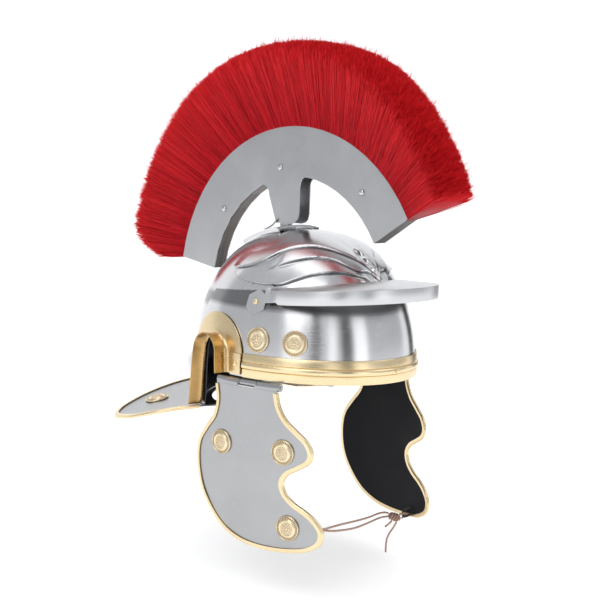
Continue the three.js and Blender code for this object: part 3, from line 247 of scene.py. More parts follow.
BIGHT_ROUTE = [
    (0.0794, -0.066, -0.155), (0.0788, -0.0686, -0.1533), (0.0786, -0.0711, -0.152),
    (0.0806, -0.0731, -0.1513), (0.0827, -0.0732, -0.1522), (0.0835, -0.0712, -0.1544),
    (0.0832, -0.069, -0.1568), (0.0824, -0.0673, -0.1584),
]
LONG_END_ROUTE = [
    (0.08, -0.0627, -0.1636), (0.0792, -0.0594, -0.17), (0.0782, -0.0554, -0.177), (0.0774, -0.0534, -0.183),
    (0.077, -0.0529, -0.189), (0.077, -0.0528, -0.197),
]
SHORT_END_ROUTE = [
    (0.0766, -0.0593, -0.1622), (0.0742, -0.0568, -0.166), (0.072, -0.0546, -0.1686),
]
KNOT = {"place": (78.5, -61, -158), "half_length": 8, "half_width": 5, "half_height": 4.4, "tilt": 22,
        "turn": -38}
KNOT_TURNS = 4
TIE_LOOPS = {
    "left": {"y": -80.5, "z": -147, "lie": -37, "reach": 11.7, "lift": 3.6},
    "right": {"y": -94, "z": -131, "lie": 0, "reach": 0, "lift": 7.5},
}

# Run of a tie loop: share aside, share out
LOOP_SHARES = [
    (-1, 0), (-1, 0.12), (-1, 0.4), (-0.9, 0.75), (-0.4, 1), (0.4, 1), (0.9, 0.75), (1, 0.4), (1, 0.12),
    (1, 0),
]


# Points, lines and meshes


def in_frame(points):
    """Millimetres from the rim plane to metres in the row frame."""
    return (np.asarray(points, float) - (0, 0, HEAD_SEAT_Z)) * MM


def smoothstep(value, start, end):
    share = np.clip((np.asarray(value, float) - start) / (end - start), 0, 1)
    return share * share * (3 - 2 * share)


def mix(start, end, share):
    return start + (end - start) * share


def smooth_line(points, spans):
    """A centripetal Catmull-Rom line through the points, cut into equal spans."""
    points = [np.asarray(p, float) for p in points]
    points = [2 * points[0] - points[1], *points, 2 * points[-1] - points[-2]]
    fine = []
    for a, b, c, d in zip(points, points[1:], points[2:], points[3:]):
        chords = [max(np.linalg.norm(q - p) ** 0.5, 1e-6) for p, q in ((a, b), (b, c), (c, d))]
        knots = np.cumsum([0] + chords)
        for t in np.linspace(knots[1], knots[2], 24, endpoint=False):
            ab = mix(a, b, (t - knots[0]) / (knots[1] - knots[0]))
            bc = mix(b, c, (t - knots[1]) / (knots[2] - knots[1]))
            cd = mix(c, d, (t - knots[2]) / (knots[3] - knots[2]))
            abc = mix(ab, bc, (t - knots[0]) / (knots[2] - knots[0]))
            bcd = mix(bc, cd, (t - knots[1]) / (knots[3] - knots[1]))
            fine.append(mix(abc, bcd, (t - knots[1]) / (knots[2] - knots[1])))
    fine = np.array([*fine, points[-2]])
    along = np.concatenate([[0], np.cumsum(np.linalg.norm(np.diff(fine, axis=0), axis=1))])
    wanted = np.linspace(0, along[-1], spans + 1)
    return np.stack([np.interp(wanted, along, fine[:, axis]) for axis in range(fine.shape[1])], axis=1)


def add_piece(name, points, faces, material, nodes=(), sharp=40):
    """A mesh piece that rides on the helmet and takes the place of the named nodes."""
    mesh = bpy.data.meshes.new(name)
    mesh.from_pydata(in_frame(points).tolist(), [], [tuple(map(int, face)) for face in faces])
    mesh.validate()
    mesh.shade_smooth()
    mesh.set_sharp_from_angle(angle=math.radians(sharp))
    mesh.materials.append(material)
    piece = bpy.data.objects.new(name, mesh)
    bpy.context.scene.collection.objects.link(piece)
    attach(piece, "root")
    if nodes:
        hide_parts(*nodes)
    return piece


def grid_faces(rows, columns, start=0, wrap=False):
    faces = []
    for i in range(rows - 1):
        for j in range(columns if wrap else columns - 1):
            a, b = i * columns + j, i * columns + (j + 1) % columns
            faces.append((start + a, start + b, start + b + columns, start + a + columns))
    return faces


def shell(outer, inner):
    """Points and faces of the wall between two grids of the same size."""
    rows, columns = outer.shape[:2]
    count = rows * columns
    points = np.concatenate([outer.reshape(-1, 3), inner.reshape(-1, 3)])
    faces = grid_faces(rows, columns)
    faces += [tuple(count + index for index in reversed(face)) for face in grid_faces(rows, columns)]
    rim = [j for j in range(columns)]
    rim += [i * columns + columns - 1 for i in range(1, rows)]
    rim += [(rows - 1) * columns + j for j in range(columns - 2, -1, -1)]
    rim += [i * columns for i in range(rows - 2, 0, -1)]
    for a, b in zip(rim, rim[1:] + rim[:1]):
        faces.append((b, a, count + a, count + b))
    return points, faces


def thicken(grid, thickness):
    """Both faces of a sheet centred on a grid of points."""
    along = np.gradient(grid, axis=0)
    across = np.gradient(grid, axis=1)
    normal = np.cross(along, across)
    normal /= np.linalg.norm(normal, axis=-1, keepdims=True)
    return shell(grid + normal * thickness / 2, grid - normal * thickness / 2)


def sweep(section, stations, place):
    """A closed section carried through the stations, with flat ends."""
    points = [place(station, *corner) for station in stations for corner in section]
    count = len(section)
    faces = grid_faces(len(stations), count, wrap=True)
    end = (len(stations) - 1) * count
    faces.append(tuple(range(count - 1, -1, -1)))
    faces.append(tuple(end + j for j in range(count)))
    return np.array(points), faces


def turned(profile, sides, place, normal):
    """A turned shape standing on a surface, its axis along the normal."""
    turn = Vector((0, 0, 1)).rotation_difference(Vector(normal)).to_matrix()
    points, faces = [], []
    for radius, height in profile:
        for step in range(sides):
            angle = 2 * math.pi * step / sides
            local = turn @ Vector((radius * math.cos(angle), radius * math.sin(angle), height))
            points.append(np.asarray(place) + local)
    return np.array(points), grid_faces(len(profile), sides, wrap=True)


def mirrored(points, faces):
    return np.asarray(points) * (-1, 1, 1), [tuple(reversed(face)) for face in faces]


def add_pair(name, made, material, nodes, sharp=40):
    """The same piece on both sides; the wearer's left is +X."""
    for side in ("left", "right"):
        points, faces = made if side == "left" else mirrored(*made)
        add_piece(f"{name}_{side}", points, faces, material, [f"{node}_{side}" for node in nodes], sharp)


def join_parts(*parts):
    points, faces = [], []
    start = 0
    for part_points, part_faces in parts:
        points.append(part_points)
        faces += [tuple(start + index for index in face) for face in part_faces]
        start += len(part_points)
    return np.concatenate(points), faces


def inset(outline, distance):
    """Moves each corner of a closed outline inwards by one distance."""
    outline = np.asarray(outline, float)
    after = np.roll(outline, -1, axis=0)
    area = np.sum(outline[:, 0] * after[:, 1] - after[:, 0] * outline[:, 1])
    into = outline - np.roll(outline, 1, axis=0)
    out = after - outline
    into /= np.linalg.norm(into, axis=1, keepdims=True)
    out /= np.linalg.norm(out, axis=1, keepdims=True)
    along = into + out
    along /= np.linalg.norm(along, axis=1, keepdims=True)
    reach = distance * np.sign(area) / np.maximum(np.sum(into * along, axis=1, keepdims=True), 0.5)
    return outline + np.stack([-along[:, 1], along[:, 0]], axis=1) * reach


# Bowl surface


def girth(z):
    rise = np.clip(np.asarray(z, float) / CROWN_HEIGHT, 0, 1)
    return (1 - rise**RISE_EXPONENT) ** (1 / GIRTH_EXPONENT)


def nape_relief(angle, z):
    back = smoothstep(-np.cos(angle), 0.4, 0.8)
    bulge = np.maximum(0, 1 - ((z - NAPE_BULGE_CENTRE) / NAPE_BULGE_HALF_HEIGHT) ** 2)
    tuck = smoothstep(-np.asarray(z, float), NAPE_DROP / 3, NAPE_DROP)
    return back * (NAPE_BULGE * bulge - NAPE_TUCK * tuck)


def above_crease(crease, degrees, z):
    """Height over a crease and how strong the crease is at an angle from the front."""
    places = smooth_line(crease, 90)
    edge = CROWN_HEIGHT * np.interp(degrees, places[:, 0], places[:, 1])
    strength = smoothstep(crease[-1][0] - degrees, 0, BROW_TAIL_DEGREES) * (degrees >= crease[0][0])
    return z - edge, strength


def brow_relief(angle, z):
    """Each crease is the sharp lower edge of a raised lock that dies away upwards and towards its ends."""
    degrees = np.abs(np.degrees(np.arctan2(np.sin(angle), np.cos(angle))))
    raised = np.zeros(np.broadcast(degrees, z).shape)
    for crease in BROW_CREASES:
        over, strength = above_crease(crease, degrees, z)
        face = smoothstep(over, -CREASE_WIDTH, 0)
        raised = np.maximum(raised, strength * face * np.clip(1 - np.maximum(over, 0) / BROW_FALLOFF, 0, 1))
    for share in BROW_KNOBS:
        away = np.hypot((z - share * CROWN_HEIGHT) / KNOB_HALF_HEIGHT, degrees / KNOB_HALF_DEGREES)
        raised = np.maximum(raised, np.clip(1 - away**2, 0, 1))
    return BROW_RELIEF * raised


def crease_shade(angle, z):
    """Share of shadow at the foot of each crease."""
    degrees = np.abs(np.degrees(np.arctan2(np.sin(angle), np.cos(angle))))
    shade = np.zeros(np.broadcast(degrees, z).shape)
    for crease in BROW_CREASES:
        over, strength = above_crease(crease, degrees, z)
        shade = np.maximum(shade, strength * np.exp(-(((over + CREASE_WIDTH / 2) / CREASE_SHADE_WIDTH) ** 2)))
    return shade


def bowl_normal(angle, z):
    share = girth(z)
    rise = np.clip(np.asarray(z, float) / CROWN_HEIGHT, 0, 0.9999)
    bulk = 1 - rise**RISE_EXPONENT
    slope = bulk ** (2 / GIRTH_EXPONENT - 1) * RISE_EXPONENT * rise ** (RISE_EXPONENT - 1)
    slope = slope / (GIRTH_EXPONENT * CROWN_HEIGHT)
    normal = np.stack(np.broadcast_arrays(
        share * np.sin(angle) / BOWL_HALF_WIDTH, -share * np.cos(angle) / BOWL_HALF_LENGTH, slope), axis=-1)
    return normal / np.linalg.norm(normal, axis=-1, keepdims=True)


def bowl_point(angle, z, offset):
    share = girth(z)
    point = np.stack(np.broadcast_arrays(
        BOWL_HALF_WIDTH * share * np.sin(angle), -BOWL_HALF_LENGTH * share * np.cos(angle),
        np.asarray(z, float)), axis=-1)
    reach = np.asarray(offset + nape_relief(angle, z), float)
    return point + bowl_normal(angle, z) * reach[..., None]


def bowl_angle(y, z):
    """Angle from the front at which the bowl's left side reaches y, at a height."""
    return np.arccos(np.clip(-y / (BOWL_HALF_LENGTH * girth(z)), -1, 1))


def bowl_height(x, y):
    share = np.hypot(x / BOWL_HALF_WIDTH, y / BOWL_HALF_LENGTH)
    return CROWN_HEIGHT * (1 - share**GIRTH_EXPONENT) ** (1 / RISE_EXPONENT)


def over_bowl(x, y, offset):
    z = bowl_height(x, y)
    angle = np.arctan2(x / BOWL_HALF_WIDTH, -y / BOWL_HALF_LENGTH)
    return np.array([x, y, z]) + bowl_normal(angle, z) * offset


def shelf_height(y):
    return VISOR_SHELF_HEIGHT + VISOR_FRONT_RISE * (
        (VISOR_CENTRE_Y - y) / VISOR_HALF_LENGTH + math.cos(math.radians(180 - VISOR_SWEEP)))


def neck_droop(x, y):
    back = np.maximum(0, (y - NECK_FRONT_Y) / (NECK_REAR_Y - NECK_FRONT_Y))
    return NECK_ARCH * (x / NECK_HALF_WIDTH) ** 2 * back


def neck_height(x, y):
    return -NAPE_DROP - SEATED_GAP - neck_droop(x, y)


# Materials


class Paint:
    """A node material around one Principled shader."""

    def __init__(self, name, **values):
        self.material = bpy.data.materials.new(name)
        self.material.use_nodes = True
        self.tree = self.material.node_tree
        self.shader = self.tree.nodes["Principled BSDF"]
        for socket, value in values.items():
            self.shader.inputs[socket.replace("_", " ").title().replace("Ior", "IOR")].default_value = value
        self.place = self.tree.nodes.new("ShaderNodeTexCoord").outputs["Object"]

    def node(self, kind, values=None, **links):
        made = self.tree.nodes.new(kind)
        for key, value in (values or {}).items():
            setattr(made, key, value)
        for key, value in links.items():
            numbered = key[0] == "i" and key[1:].isdigit()
            socket = made.inputs[int(key[1:]) if numbered else key.replace("_", " ")]
            if isinstance(value, bpy.types.NodeSocket):
                self.tree.links.new(value, socket)
            else:
                socket.default_value = value
        return made

    def stretched(self, scale):
        return self.node("ShaderNodeMapping", Vector=self.place, Scale=scale).outputs["Vector"]

    def noise(self, scale, detail=3, roughness=0.6, at=None):
        made = self.node("ShaderNodeTexNoise", Vector=at or self.place, Scale=scale, Detail=detail,
                         Roughness=roughness)
        return made.outputs["Fac"]

    def ramp(self, value, low, high, start=0.0, end=1.0):
        """A value between low and high shares mapped to a range or to a colour."""
        if isinstance(start, tuple):
            made = self.node("ShaderNodeValToRGB", i0=value)
            made.color_ramp.elements[0].position = low
            made.color_ramp.elements[1].position = high
            made.color_ramp.elements[0].color = (*start, 1)
            made.color_ramp.elements[1].color = (*end, 1)
            return made.outputs["Color"]
        return self.node("ShaderNodeMapRange", i0=value, i1=low, i2=high, i3=start, i4=end).outputs["Result"]

    def set(self, socket, value):
        self.tree.links.new(value, self.shader.inputs[socket])

    def bump(self, height, strength, distance):
        normal = self.shader.inputs["Normal"]
        before = normal.links[0].from_socket if normal.links else None
        made = self.node("ShaderNodeBump", Height=height, Strength=strength, Distance=distance)
        if before:
            self.tree.links.new(before, made.inputs["Normal"])
        self.set("Normal", made.outputs["Normal"])


def brushed_metal(name, colour, shade, roughness, brush, lines=0.04, scuffs=0.12):
    """A metal with fine brushing along two axes, cloudy wear in its gloss and a few scuffs."""
    paint = Paint(name, metallic=1.0)
    grain = paint.noise(1, 4, 0.75, paint.stretched(brush))
    clouds = paint.noise(24, 4)
    paint.set("Base Color", paint.ramp(clouds, 0.35, 0.7, shade, colour))
    rough = paint.node("ShaderNodeMath", {"operation": "ADD"},
                       i0=paint.ramp(grain, 0.3, 0.7, roughness - 0.03, roughness + 0.04),
                       i1=paint.ramp(clouds, 0.3, 0.75, -0.02, scuffs * 0.4))
    paint.set("Roughness", rough.outputs["Value"])
    paint.bump(grain, lines, 0.0002)
    return paint


def mix_in_painted_shade(paint, colour):
    """Paints shade into the metal: takes it towards another colour by the share of painted shade that the
    mesh holds.
    """
    painted_shade = paint.node("ShaderNodeAttribute", {"attribute_name": "painted_shade"}).outputs["Fac"]
    bright = paint.shader.inputs["Base Color"].links[0].from_socket
    mixed = paint.node("ShaderNodeMix", {"data_type": "RGBA"}, i0=painted_shade, i6=bright, i7=(*colour, 1))
    paint.set("Base Color", mixed.outputs[2])
    return paint.material


def turned_metal(name, colour, shade, roughness):
    """Metal brushed round the vertical axis, so that reflections stretch up and down."""
    paint = brushed_metal(name, colour, shade, roughness, (60, 60, 2400), 0.01, 0.06)
    around = paint.node("ShaderNodeTangent", {"direction_type": "RADIAL", "axis": "Z"}).outputs["Tangent"]
    paint.set("Tangent", around)
    paint.shader.inputs["Anisotropic"].default_value = 0.7
    paint.shader.inputs["Anisotropic Rotation"].default_value = 0.25
    return paint


steel = brushed_metal("satin_steel", (0.54, 0.545, 0.55), (0.49, 0.495, 0.50), 0.30, (60, 60, 2600)).material
guard_steel = brushed_metal(
    "guard_steel", (0.45, 0.455, 0.46), (0.41, 0.415, 0.42), 0.30, (60, 60, 2600)).material
mirror_steel = brushed_metal(
    "polished_steel", (0.66, 0.665, 0.67), (0.6, 0.605, 0.61), 0.1, (60, 60, 2200), 0.025).material
# Painted shade: the inside of the bowl and the cut edges of its ear openings get a near-black steel that
# stands in for the shadow inside the helmet.
painted_shade_inside_steel = brushed_metal(
    "painted_shade_inside_steel", (0.09, 0.092, 0.1), (0.06, 0.062, 0.068), 0.4, (60, 60, 900)).material
# Painted shade: the bowl's colour is taken towards near-black at the foot of each crease and under the brow
# guard's lip.
bowl_steel = mix_in_painted_shade(
    turned_metal("turned_steel", (0.72, 0.72, 0.725), (0.67, 0.67, 0.675), 0.24), (0.06, 0.06, 0.065))
brow_steel = brushed_metal(
    "brow_steel", (0.68, 0.685, 0.69), (0.62, 0.625, 0.63), 0.32, (60, 60, 2400)).material
brass = brushed_metal("brushed_brass", (0.90, 0.74, 0.47), (0.84, 0.67, 0.40), 0.27, (90, 90, 2400)).material
# Painted shade: the rosette's colour is taken towards dark brown in the ticked ring and the low hollows of
# its relief.
rosette_metal = mix_in_painted_shade(
    brushed_metal("stamped_brass", (0.93, 0.79, 0.55), (0.84, 0.69, 0.45), 0.26, (300, 300, 900)),
    (0.11, 0.065, 0.03))
# Painted light and shade: a darker, more orange copy of the brass that stands in for warm light thrown back
# onto the ear guards, with painted shade taking its lip towards dark orange.
ear_brass = mix_in_painted_shade(
    brushed_metal("ear_brass", (0.86, 0.70, 0.43), (0.80, 0.63, 0.37), 0.27, (90, 90, 2400)),
    (0.60, 0.38, 0.15))


def core_metal():
    """Dark brown-grey sheet with streaks that run round the arch; the streaks are its own, the darkness is
    painted shade and painted dark reflection from between the crest plates.
    """
    paint = Paint("streaked_sheet", metallic=1.0)
    streaks = paint.noise(1, 4, 0.7, paint.stretched((900, 9, 9)))
    # Painted shade: the dark base colour stands in for the shade and dark reflection of the sheet between the
    # crest plates.
    paint.set("Base Color", paint.ramp(streaks, 0.35, 0.65, (0.08, 0.07, 0.065), (0.22, 0.2, 0.19)))
    paint.set("Roughness", paint.ramp(streaks, 0.3, 0.7, 0.32, 0.5))
    paint.bump(streaks, 0.1, 0.0003)
    return paint.material


def lining_leather():
    paint = Paint("black_lining", specular_ior_level=0.15)
    grain = paint.node("ShaderNodeTexVoronoi", Vector=paint.place, Scale=1500).outputs["Distance"]
    clouds = paint.noise(30, 4)
    paint.set("Base Color", paint.ramp(clouds, 0.3, 0.7, (0.005, 0.005, 0.0065), (0.011, 0.011, 0.014)))
    paint.set("Roughness", paint.ramp(clouds, 0.3, 0.7, 0.5, 0.68))
    paint.bump(grain, 0.12, 0.0002)
    return paint.material


def bristle():
    """Red fibres, each with its own tone, darker between the plates as painted shade and brighter at their
    tips as painted light.
    """
    paint = Paint("red_bristle", roughness=0.5, specular_ior_level=0.2)
    tone = paint.node("ShaderNodeAttribute", {"attribute_name": "tone"}).outputs["Fac"]
    along = paint.node("ShaderNodeAttribute", {"attribute_name": "along"}).outputs["Fac"]
    shaded_root_colour = paint.ramp(tone, 0.0, 1.0, (0.30, 0.001, 0.007), (0.78, 0.005, 0.016))
    lit_tip_colour = paint.ramp(tone, 0.0, 1.0, (0.70, 0.006, 0.016), (1.0, 0.035, 0.04))
    colour = paint.node("ShaderNodeMix", {"data_type": "RGBA"}, i0=paint.ramp(along, 0.1, 1.0), i6=shaded_root_colour,
                        i7=lit_tip_colour)
    paint.set("Base Color", colour.outputs[2])
    return paint.material


def cord_leather(name, dark, light):
    paint = Paint(name, roughness=0.75)
    fibres = paint.noise(700, 4, 0.7)
    paint.set("Base Color", paint.ramp(fibres, 0.3, 0.7, dark, light))
    paint.set("Roughness", paint.ramp(fibres, 0.3, 0.7, 0.6, 0.85))
    paint.bump(fibres, 0.4, 0.0004)
    return paint.material


streaked_sheet = core_metal()
black_lining = lining_leather()
red_bristle = bristle()
tan_thong = cord_leather("tan_thong", (0.34, 0.20, 0.14), (0.56, 0.38, 0.29))
black_loop = cord_leather("black_loop", (0.012, 0.012, 0.014), (0.035, 0.033, 0.035))

# Camera

CAMERA = {"azimuth": -45.72477, "elevation": 7.00390, "roll": 2.004, "distance": 1158.945, "lens": 70.53,
          "right": -5.444, "up": 63.204}


def add_camera():
    azimuth, elevation, roll = (math.radians(CAMERA[key]) for key in ("azimuth", "elevation", "roll"))
    back = Vector((math.sin(azimuth) * math.cos(elevation), -math.cos(azimuth) * math.cos(elevation),
                   math.sin(elevation)))
    right = Vector((math.cos(azimuth), math.sin(azimuth), 0))
    up = back.cross(right)
    target = right * CAMERA["right"] + Vector((0, 0, CAMERA["up"]))
    turned_right = right * math.cos(roll) + up * math.sin(roll)
    turned_up = up * math.cos(roll) - right * math.sin(roll)
    data = bpy.data.cameras.new("camera")
    data.lens = CAMERA["lens"]
    data.sensor_width = 36
    data.clip_end = 20
    camera = bpy.data.objects.new("camera", data)
    turn = Matrix((turned_right, turned_up, back)).transposed().to_4x4()
    place = Vector(in_frame(target + back * CAMERA["distance"]).tolist())
    camera.matrix_world = Matrix.Translation(place) @ turn
    bpy.context.scene.collection.objects.link(camera)
    bpy.context.scene.camera = camera


add_camera()

# Tie


def add_cord(name, route, diameter, material, nodes, spans):
    """A round cord along a smooth line through the route, in metres from the rim plane."""
    line = smooth_line(route, spans) - (0, 0, HEAD_SEAT_Z * MM)
    curve = bpy.data.curves.new(name, "CURVE")
    curve.dimensions = "3D"
    curve.bevel_depth = diameter * MM / 2
    curve.bevel_resolution = 3
    curve.use_fill_caps = True
    spline = curve.splines.new("POLY")
    spline.points.add(len(line) - 1)
    for point, place in zip(spline.points, line):
        point.co = (*place, 1)
    curve.materials.append(material)
    cord = bpy.data.objects.new(name, curve)
    bpy.context.scene.collection.objects.link(cord)
    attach(cord, "root")
    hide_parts(*nodes)
    length = float(np.linalg.norm(np.diff(line, axis=0), axis=1).sum())
    return cord, line, length


def knot_frame():
    tilt = Matrix.Rotation(math.radians(KNOT["tilt"]), 3, "Y")
    return Matrix.Rotation(math.radians(KNOT["turn"]), 3, "Z") @ tilt


def knot_point(share_long, share_wide, share_high):
    local = Vector((share_long * KNOT["half_length"], share_wide * KNOT["half_width"],
                    share_high * KNOT["half_height"]))
    return (Vector(KNOT["place"]) + knot_frame() @ local) * MM


def build_tie():
    thong, line, length = add_cord("thong", THONG_ROUTE, THONG_DIAMETER, tan_thong, ["tie_thong"], 260)
    bight, _, _ = add_cord("thong_bight", BIGHT_ROUTE, THONG_DIAMETER, tan_thong, ["tie_bight"], 60)
    long_end, long_line, long_length = add_cord(
        "thong_long_end", LONG_END_ROUTE, THONG_DIAMETER, tan_thong, ["tie_end_long"], 60)
    short_end, _, _ = add_cord(
        "thong_short_end", SHORT_END_ROUTE, THONG_DIAMETER, tan_thong, ["tie_end_short"], 30)

    turns = []
    inner = 1 - THONG_DIAMETER / 2 / KNOT["half_width"]
    for step in range(KNOT_TURNS * 16 + 1):
        share = step / (KNOT_TURNS * 16)
        angle = 2 * math.pi * KNOT_TURNS * share
        along = mix(-0.62, 0.62, share)
        belly = inner * math.sqrt(1 - along**2)
        drift = 0.12 * math.sin(angle)
        turns.append(knot_point(along + drift, belly * math.cos(angle), belly * math.sin(angle)))
    wraps, _, _ = add_cord("thong_knot", turns, THONG_DIAMETER, tan_thong, ["tie_knot"], 200)
    through = [knot_point(along, 0.1 * math.sin(3 * along), 0) for along in np.linspace(-0.85, 0.85, 9)]
    core, _, _ = add_cord("thong_knot_core", through, 1.6 * THONG_DIAMETER, tan_thong, [], 30)
    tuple(line[0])
    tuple(long_line[0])


build_tie()

# Bowl


def arch_points(centre_y, radius, spring, front_foot, rear_foot, leg_spans, top_spans, rear_spans):
    """Points along an arch: up the front leg, over the top and down the rear leg."""
    points = [(mix(front_foot[0], centre_y - radius, t), mix(front_foot[1], spring, t))
              for t in np.linspace(0, 1, leg_spans, endpoint=False)]
    points += [(centre_y + radius * math.cos(turn), spring + radius * math.sin(turn))
               for turn in np.linspace(math.pi, 0, top_spans, endpoint=False)]
    points += [(mix(centre_y + radius, rear_foot[0], t), mix(spring, rear_foot[1], t))
               for t in np.linspace(0, 1, rear_spans + 1)]
    return points


def cutter(outline, half_reach):
    """A prism along X whose outline lies in the side view (y, z)."""
    points = [(x, y, z) for x in (-half_reach, half_reach) for y, z in outline]
    count = len(outline)
    faces = [tuple(range(count)), tuple(range(2 * count - 1, count - 1, -1))]
    faces += [(i, i + count, (i + 1) % count + count, (i + 1) % count) for i in range(count)]
    mesh = bpy.data.meshes.new("cutter")
    mesh.from_pydata(in_frame(points).tolist(), [], faces)
    for finish in (bowl_steel, painted_shade_inside_steel):
        mesh.materials.append(finish)
    mesh.polygons.foreach_set("material_index", [1] * len(mesh.polygons))
    shape = bmesh.new()
    shape.from_mesh(mesh)
    bmesh.ops.recalc_face_normals(shape, faces=shape.faces)
    shape.to_mesh(mesh)
    shape.free()
    made = bpy.data.objects.new("cutter", mesh)
    bpy.context.scene.collection.objects.link(made)
    return made


def cut(piece, tools):
    for tool in tools:
        modifier = piece.modifiers.new("cut", "BOOLEAN")
        modifier.object = tool
        modifier.solver = "EXACT"
    depsgraph = bpy.context.evaluated_depsgraph_get()
    piece.data = bpy.data.meshes.new_from_object(piece.evaluated_get(depsgraph))
    piece.modifiers.clear()
    for tool in tools:
        bpy.data.objects.remove(tool)


def bowl_rings(columns, heights, offset, relief):
    angles = np.linspace(0, 2 * math.pi, columns, endpoint=False)
    rings = []
    for z in heights:
        ring = bowl_point(angles, np.full(columns, z), offset + (brow_relief(angles, z) if relief else 0.0))
        if z < 0:
            ring[:, 2] *= 1 + neck_droop(ring[:, 0], ring[:, 1]) / NAPE_DROP
        rings.append(ring)
    return np.array(rings)


def closed_bowl(columns, heights, offset, relief):
    rings = bowl_rings(columns, heights, offset, relief)
    count = rings.shape[0] * columns
    points = np.concatenate([rings.reshape(-1, 3), [[0, 0, CROWN_HEIGHT + offset]]])
    faces = grid_faces(rings.shape[0], columns, wrap=True)
    last = count - columns
    faces += [(last + j, last + (j + 1) % columns, count) for j in range(columns)]
    return points, faces


def bowl_painted_shade(points):
    # Painted shade: dark lines at the foot of each crease, and a dark crescent under the brow guard's lip
    # that stands in for its shadow and dark reflection on the bowl.
    angles = np.arctan2(points[:, 0] / BOWL_HALF_WIDTH, -points[:, 1] / BOWL_HALF_LENGTH)
    crease = crease_shade(angles, points[:, 2] - 0.5)
    lip = shelf_height(points[:, 1]) - VISOR_LIP
    depth = VISOR_SHADE_DEPTH * np.clip(1 - (np.degrees(angles) / VISOR_SWEEP) ** 2, 0.01, 1)
    under = smoothstep((points[:, 2] - lip) / depth, -1, -0.4) * (points[:, 2] < lip + VISOR_LIP)
    return np.maximum(crease, VISOR_SHADE * under).astype(np.float32)


def build_bowl():
    embossed_from, top_from = 0.56 * CROWN_HEIGHT, 0.93 * CROWN_HEIGHT
    low = np.linspace(-NAPE_DROP, embossed_from, 24, endpoint=False)
    embossed = np.linspace(embossed_from, top_from, 80, endpoint=False)
    shares = np.linspace(girth(top_from), 0.02, 22)
    top = CROWN_HEIGHT * (1 - shares**GIRTH_EXPONENT) ** (1 / RISE_EXPONENT)
    columns, inner_columns = 540, 120
    outer = closed_bowl(columns, np.concatenate([low, embossed, top]), 0, True)
    inner_heights = np.concatenate([low, embossed[::5], top[::2]])
    inner_points, inner_faces = closed_bowl(inner_columns, inner_heights, -BOWL_WALL, False)
    start = len(outer[0])
    rim = []
    for j in range(columns):
        a, b = j, (j + 1) % columns
        inner_a = start + j * inner_columns // columns
        inner_b = start + (j + 1) * inner_columns // columns % inner_columns
        rim.append((b, a, inner_a) if inner_a == inner_b else (b, a, inner_a, inner_b))
    points = np.concatenate([outer[0], inner_points])
    faces = outer[1] + [tuple(start + i for i in reversed(face)) for face in inner_faces] + rim
    bowl = add_piece("bowl_shell", points, faces, bowl_steel, ["bowl"], 50)
    bowl.data.attributes.new("painted_shade", "FLOAT", "POINT").data.foreach_set("value", bowl_painted_shade(points))
    bowl.data.materials.append(painted_shade_inside_steel)
    for face in bowl.data.polygons:
        face.material_index = int(min(face.vertices) >= start)
    reach = BOWL_HALF_WIDTH + 2 * NAPE_BULGE
    front_foot = (EAR_FRONT_FOOT_Y - EAR_CLEARANCE, 0)
    arch = arch_points(EAR_CENTRE_Y, EAR_RADIUS + EAR_CLEARANCE, EAR_SPRING, front_foot,
                       (EAR_REAR_FOOT_Y + EAR_CLEARANCE, -3 * NAPE_DROP), 3, 20, 3)
    arch.append((front_foot[0], -3 * NAPE_DROP))
    front = -BOWL_HALF_LENGTH - 10
    below = [(front, 0), (front, -3 * NAPE_DROP), (front_foot[0] + 1, -3 * NAPE_DROP), (front_foot[0] + 1, 0)]
    cut(bowl, [cutter(arch, reach), cutter(below, reach)])
    bowl.data.set_sharp_from_angle(angle=math.radians(50))


build_bowl()


# Ear guards


def build_ears():
    spans = (8, 36, 16)
    rear_z = -NAPE_DROP + GAP
    opening = arch_points(EAR_CENTRE_Y, EAR_RADIUS, EAR_SPRING, (EAR_FRONT_FOOT_Y, EAR_FRONT_FOOT_Z),
                          (EAR_REAR_FOOT_Y, rear_z), *spans)
    flange = arch_points(EAR_FLANGE_CENTRE_Y, EAR_FLANGE_RADIUS, EAR_FLANGE_SPRING,
                         (EAR_FLANGE_CENTRE_Y - EAR_FLANGE_RADIUS, EAR_FRONT_FOOT_Z),
                         (EAR_FLANGE_REAR_FOOT_Y, rear_z), *spans)
    seat = 2 * SEATED_GAP + SHEET / 2
    grid = []
    for (y, z), (flange_y, flange_z) in zip(opening, flange):
        out = np.array([flange_y - y, flange_z - z])
        width = np.linalg.norm(out)
        fillet = min(EAR_FILLET, width * 0.8)
        out /= width
        steps = [(mix(width, fillet, t), 0) for t in np.linspace(0, 1, 8)]
        steps += [(fillet * (1 - math.sin(turn)), fillet * (1 - math.cos(turn)))
                  for turn in np.linspace(0, math.pi / 2, 9)[1:]]
        steps += [(0, mix(fillet, EAR_LIP, t)) for t in np.linspace(0, 1, 5)[1:]]
        row = []
        for reach, lift in steps:
            step_y, step_z = y + out[0] * reach, z + out[1] * reach
            row.append(bowl_point(bowl_angle(step_y, step_z), step_z, seat + lift))
        grid.append(row)
    add_pair("ear_brass", thicken(np.array(grid), SHEET), ear_brass, ["ear_guard"])
    # Painted shade: the share rises over the fillet and is full on the lip, which it takes towards dark
    # orange.
    lip_share = np.clip(np.arange(len(grid[0])) - 7, 0, 8) / 8
    for side in ("left", "right"):
        mesh = bpy.data.objects[f"ear_brass_{side}"].data
        values = np.tile(lip_share, 2 * len(grid)).astype(np.float32)
        mesh.attributes.new("painted_shade", "FLOAT", "POINT").data.foreach_set("value", values)


build_ears()

# Neck guard and the shared edging section

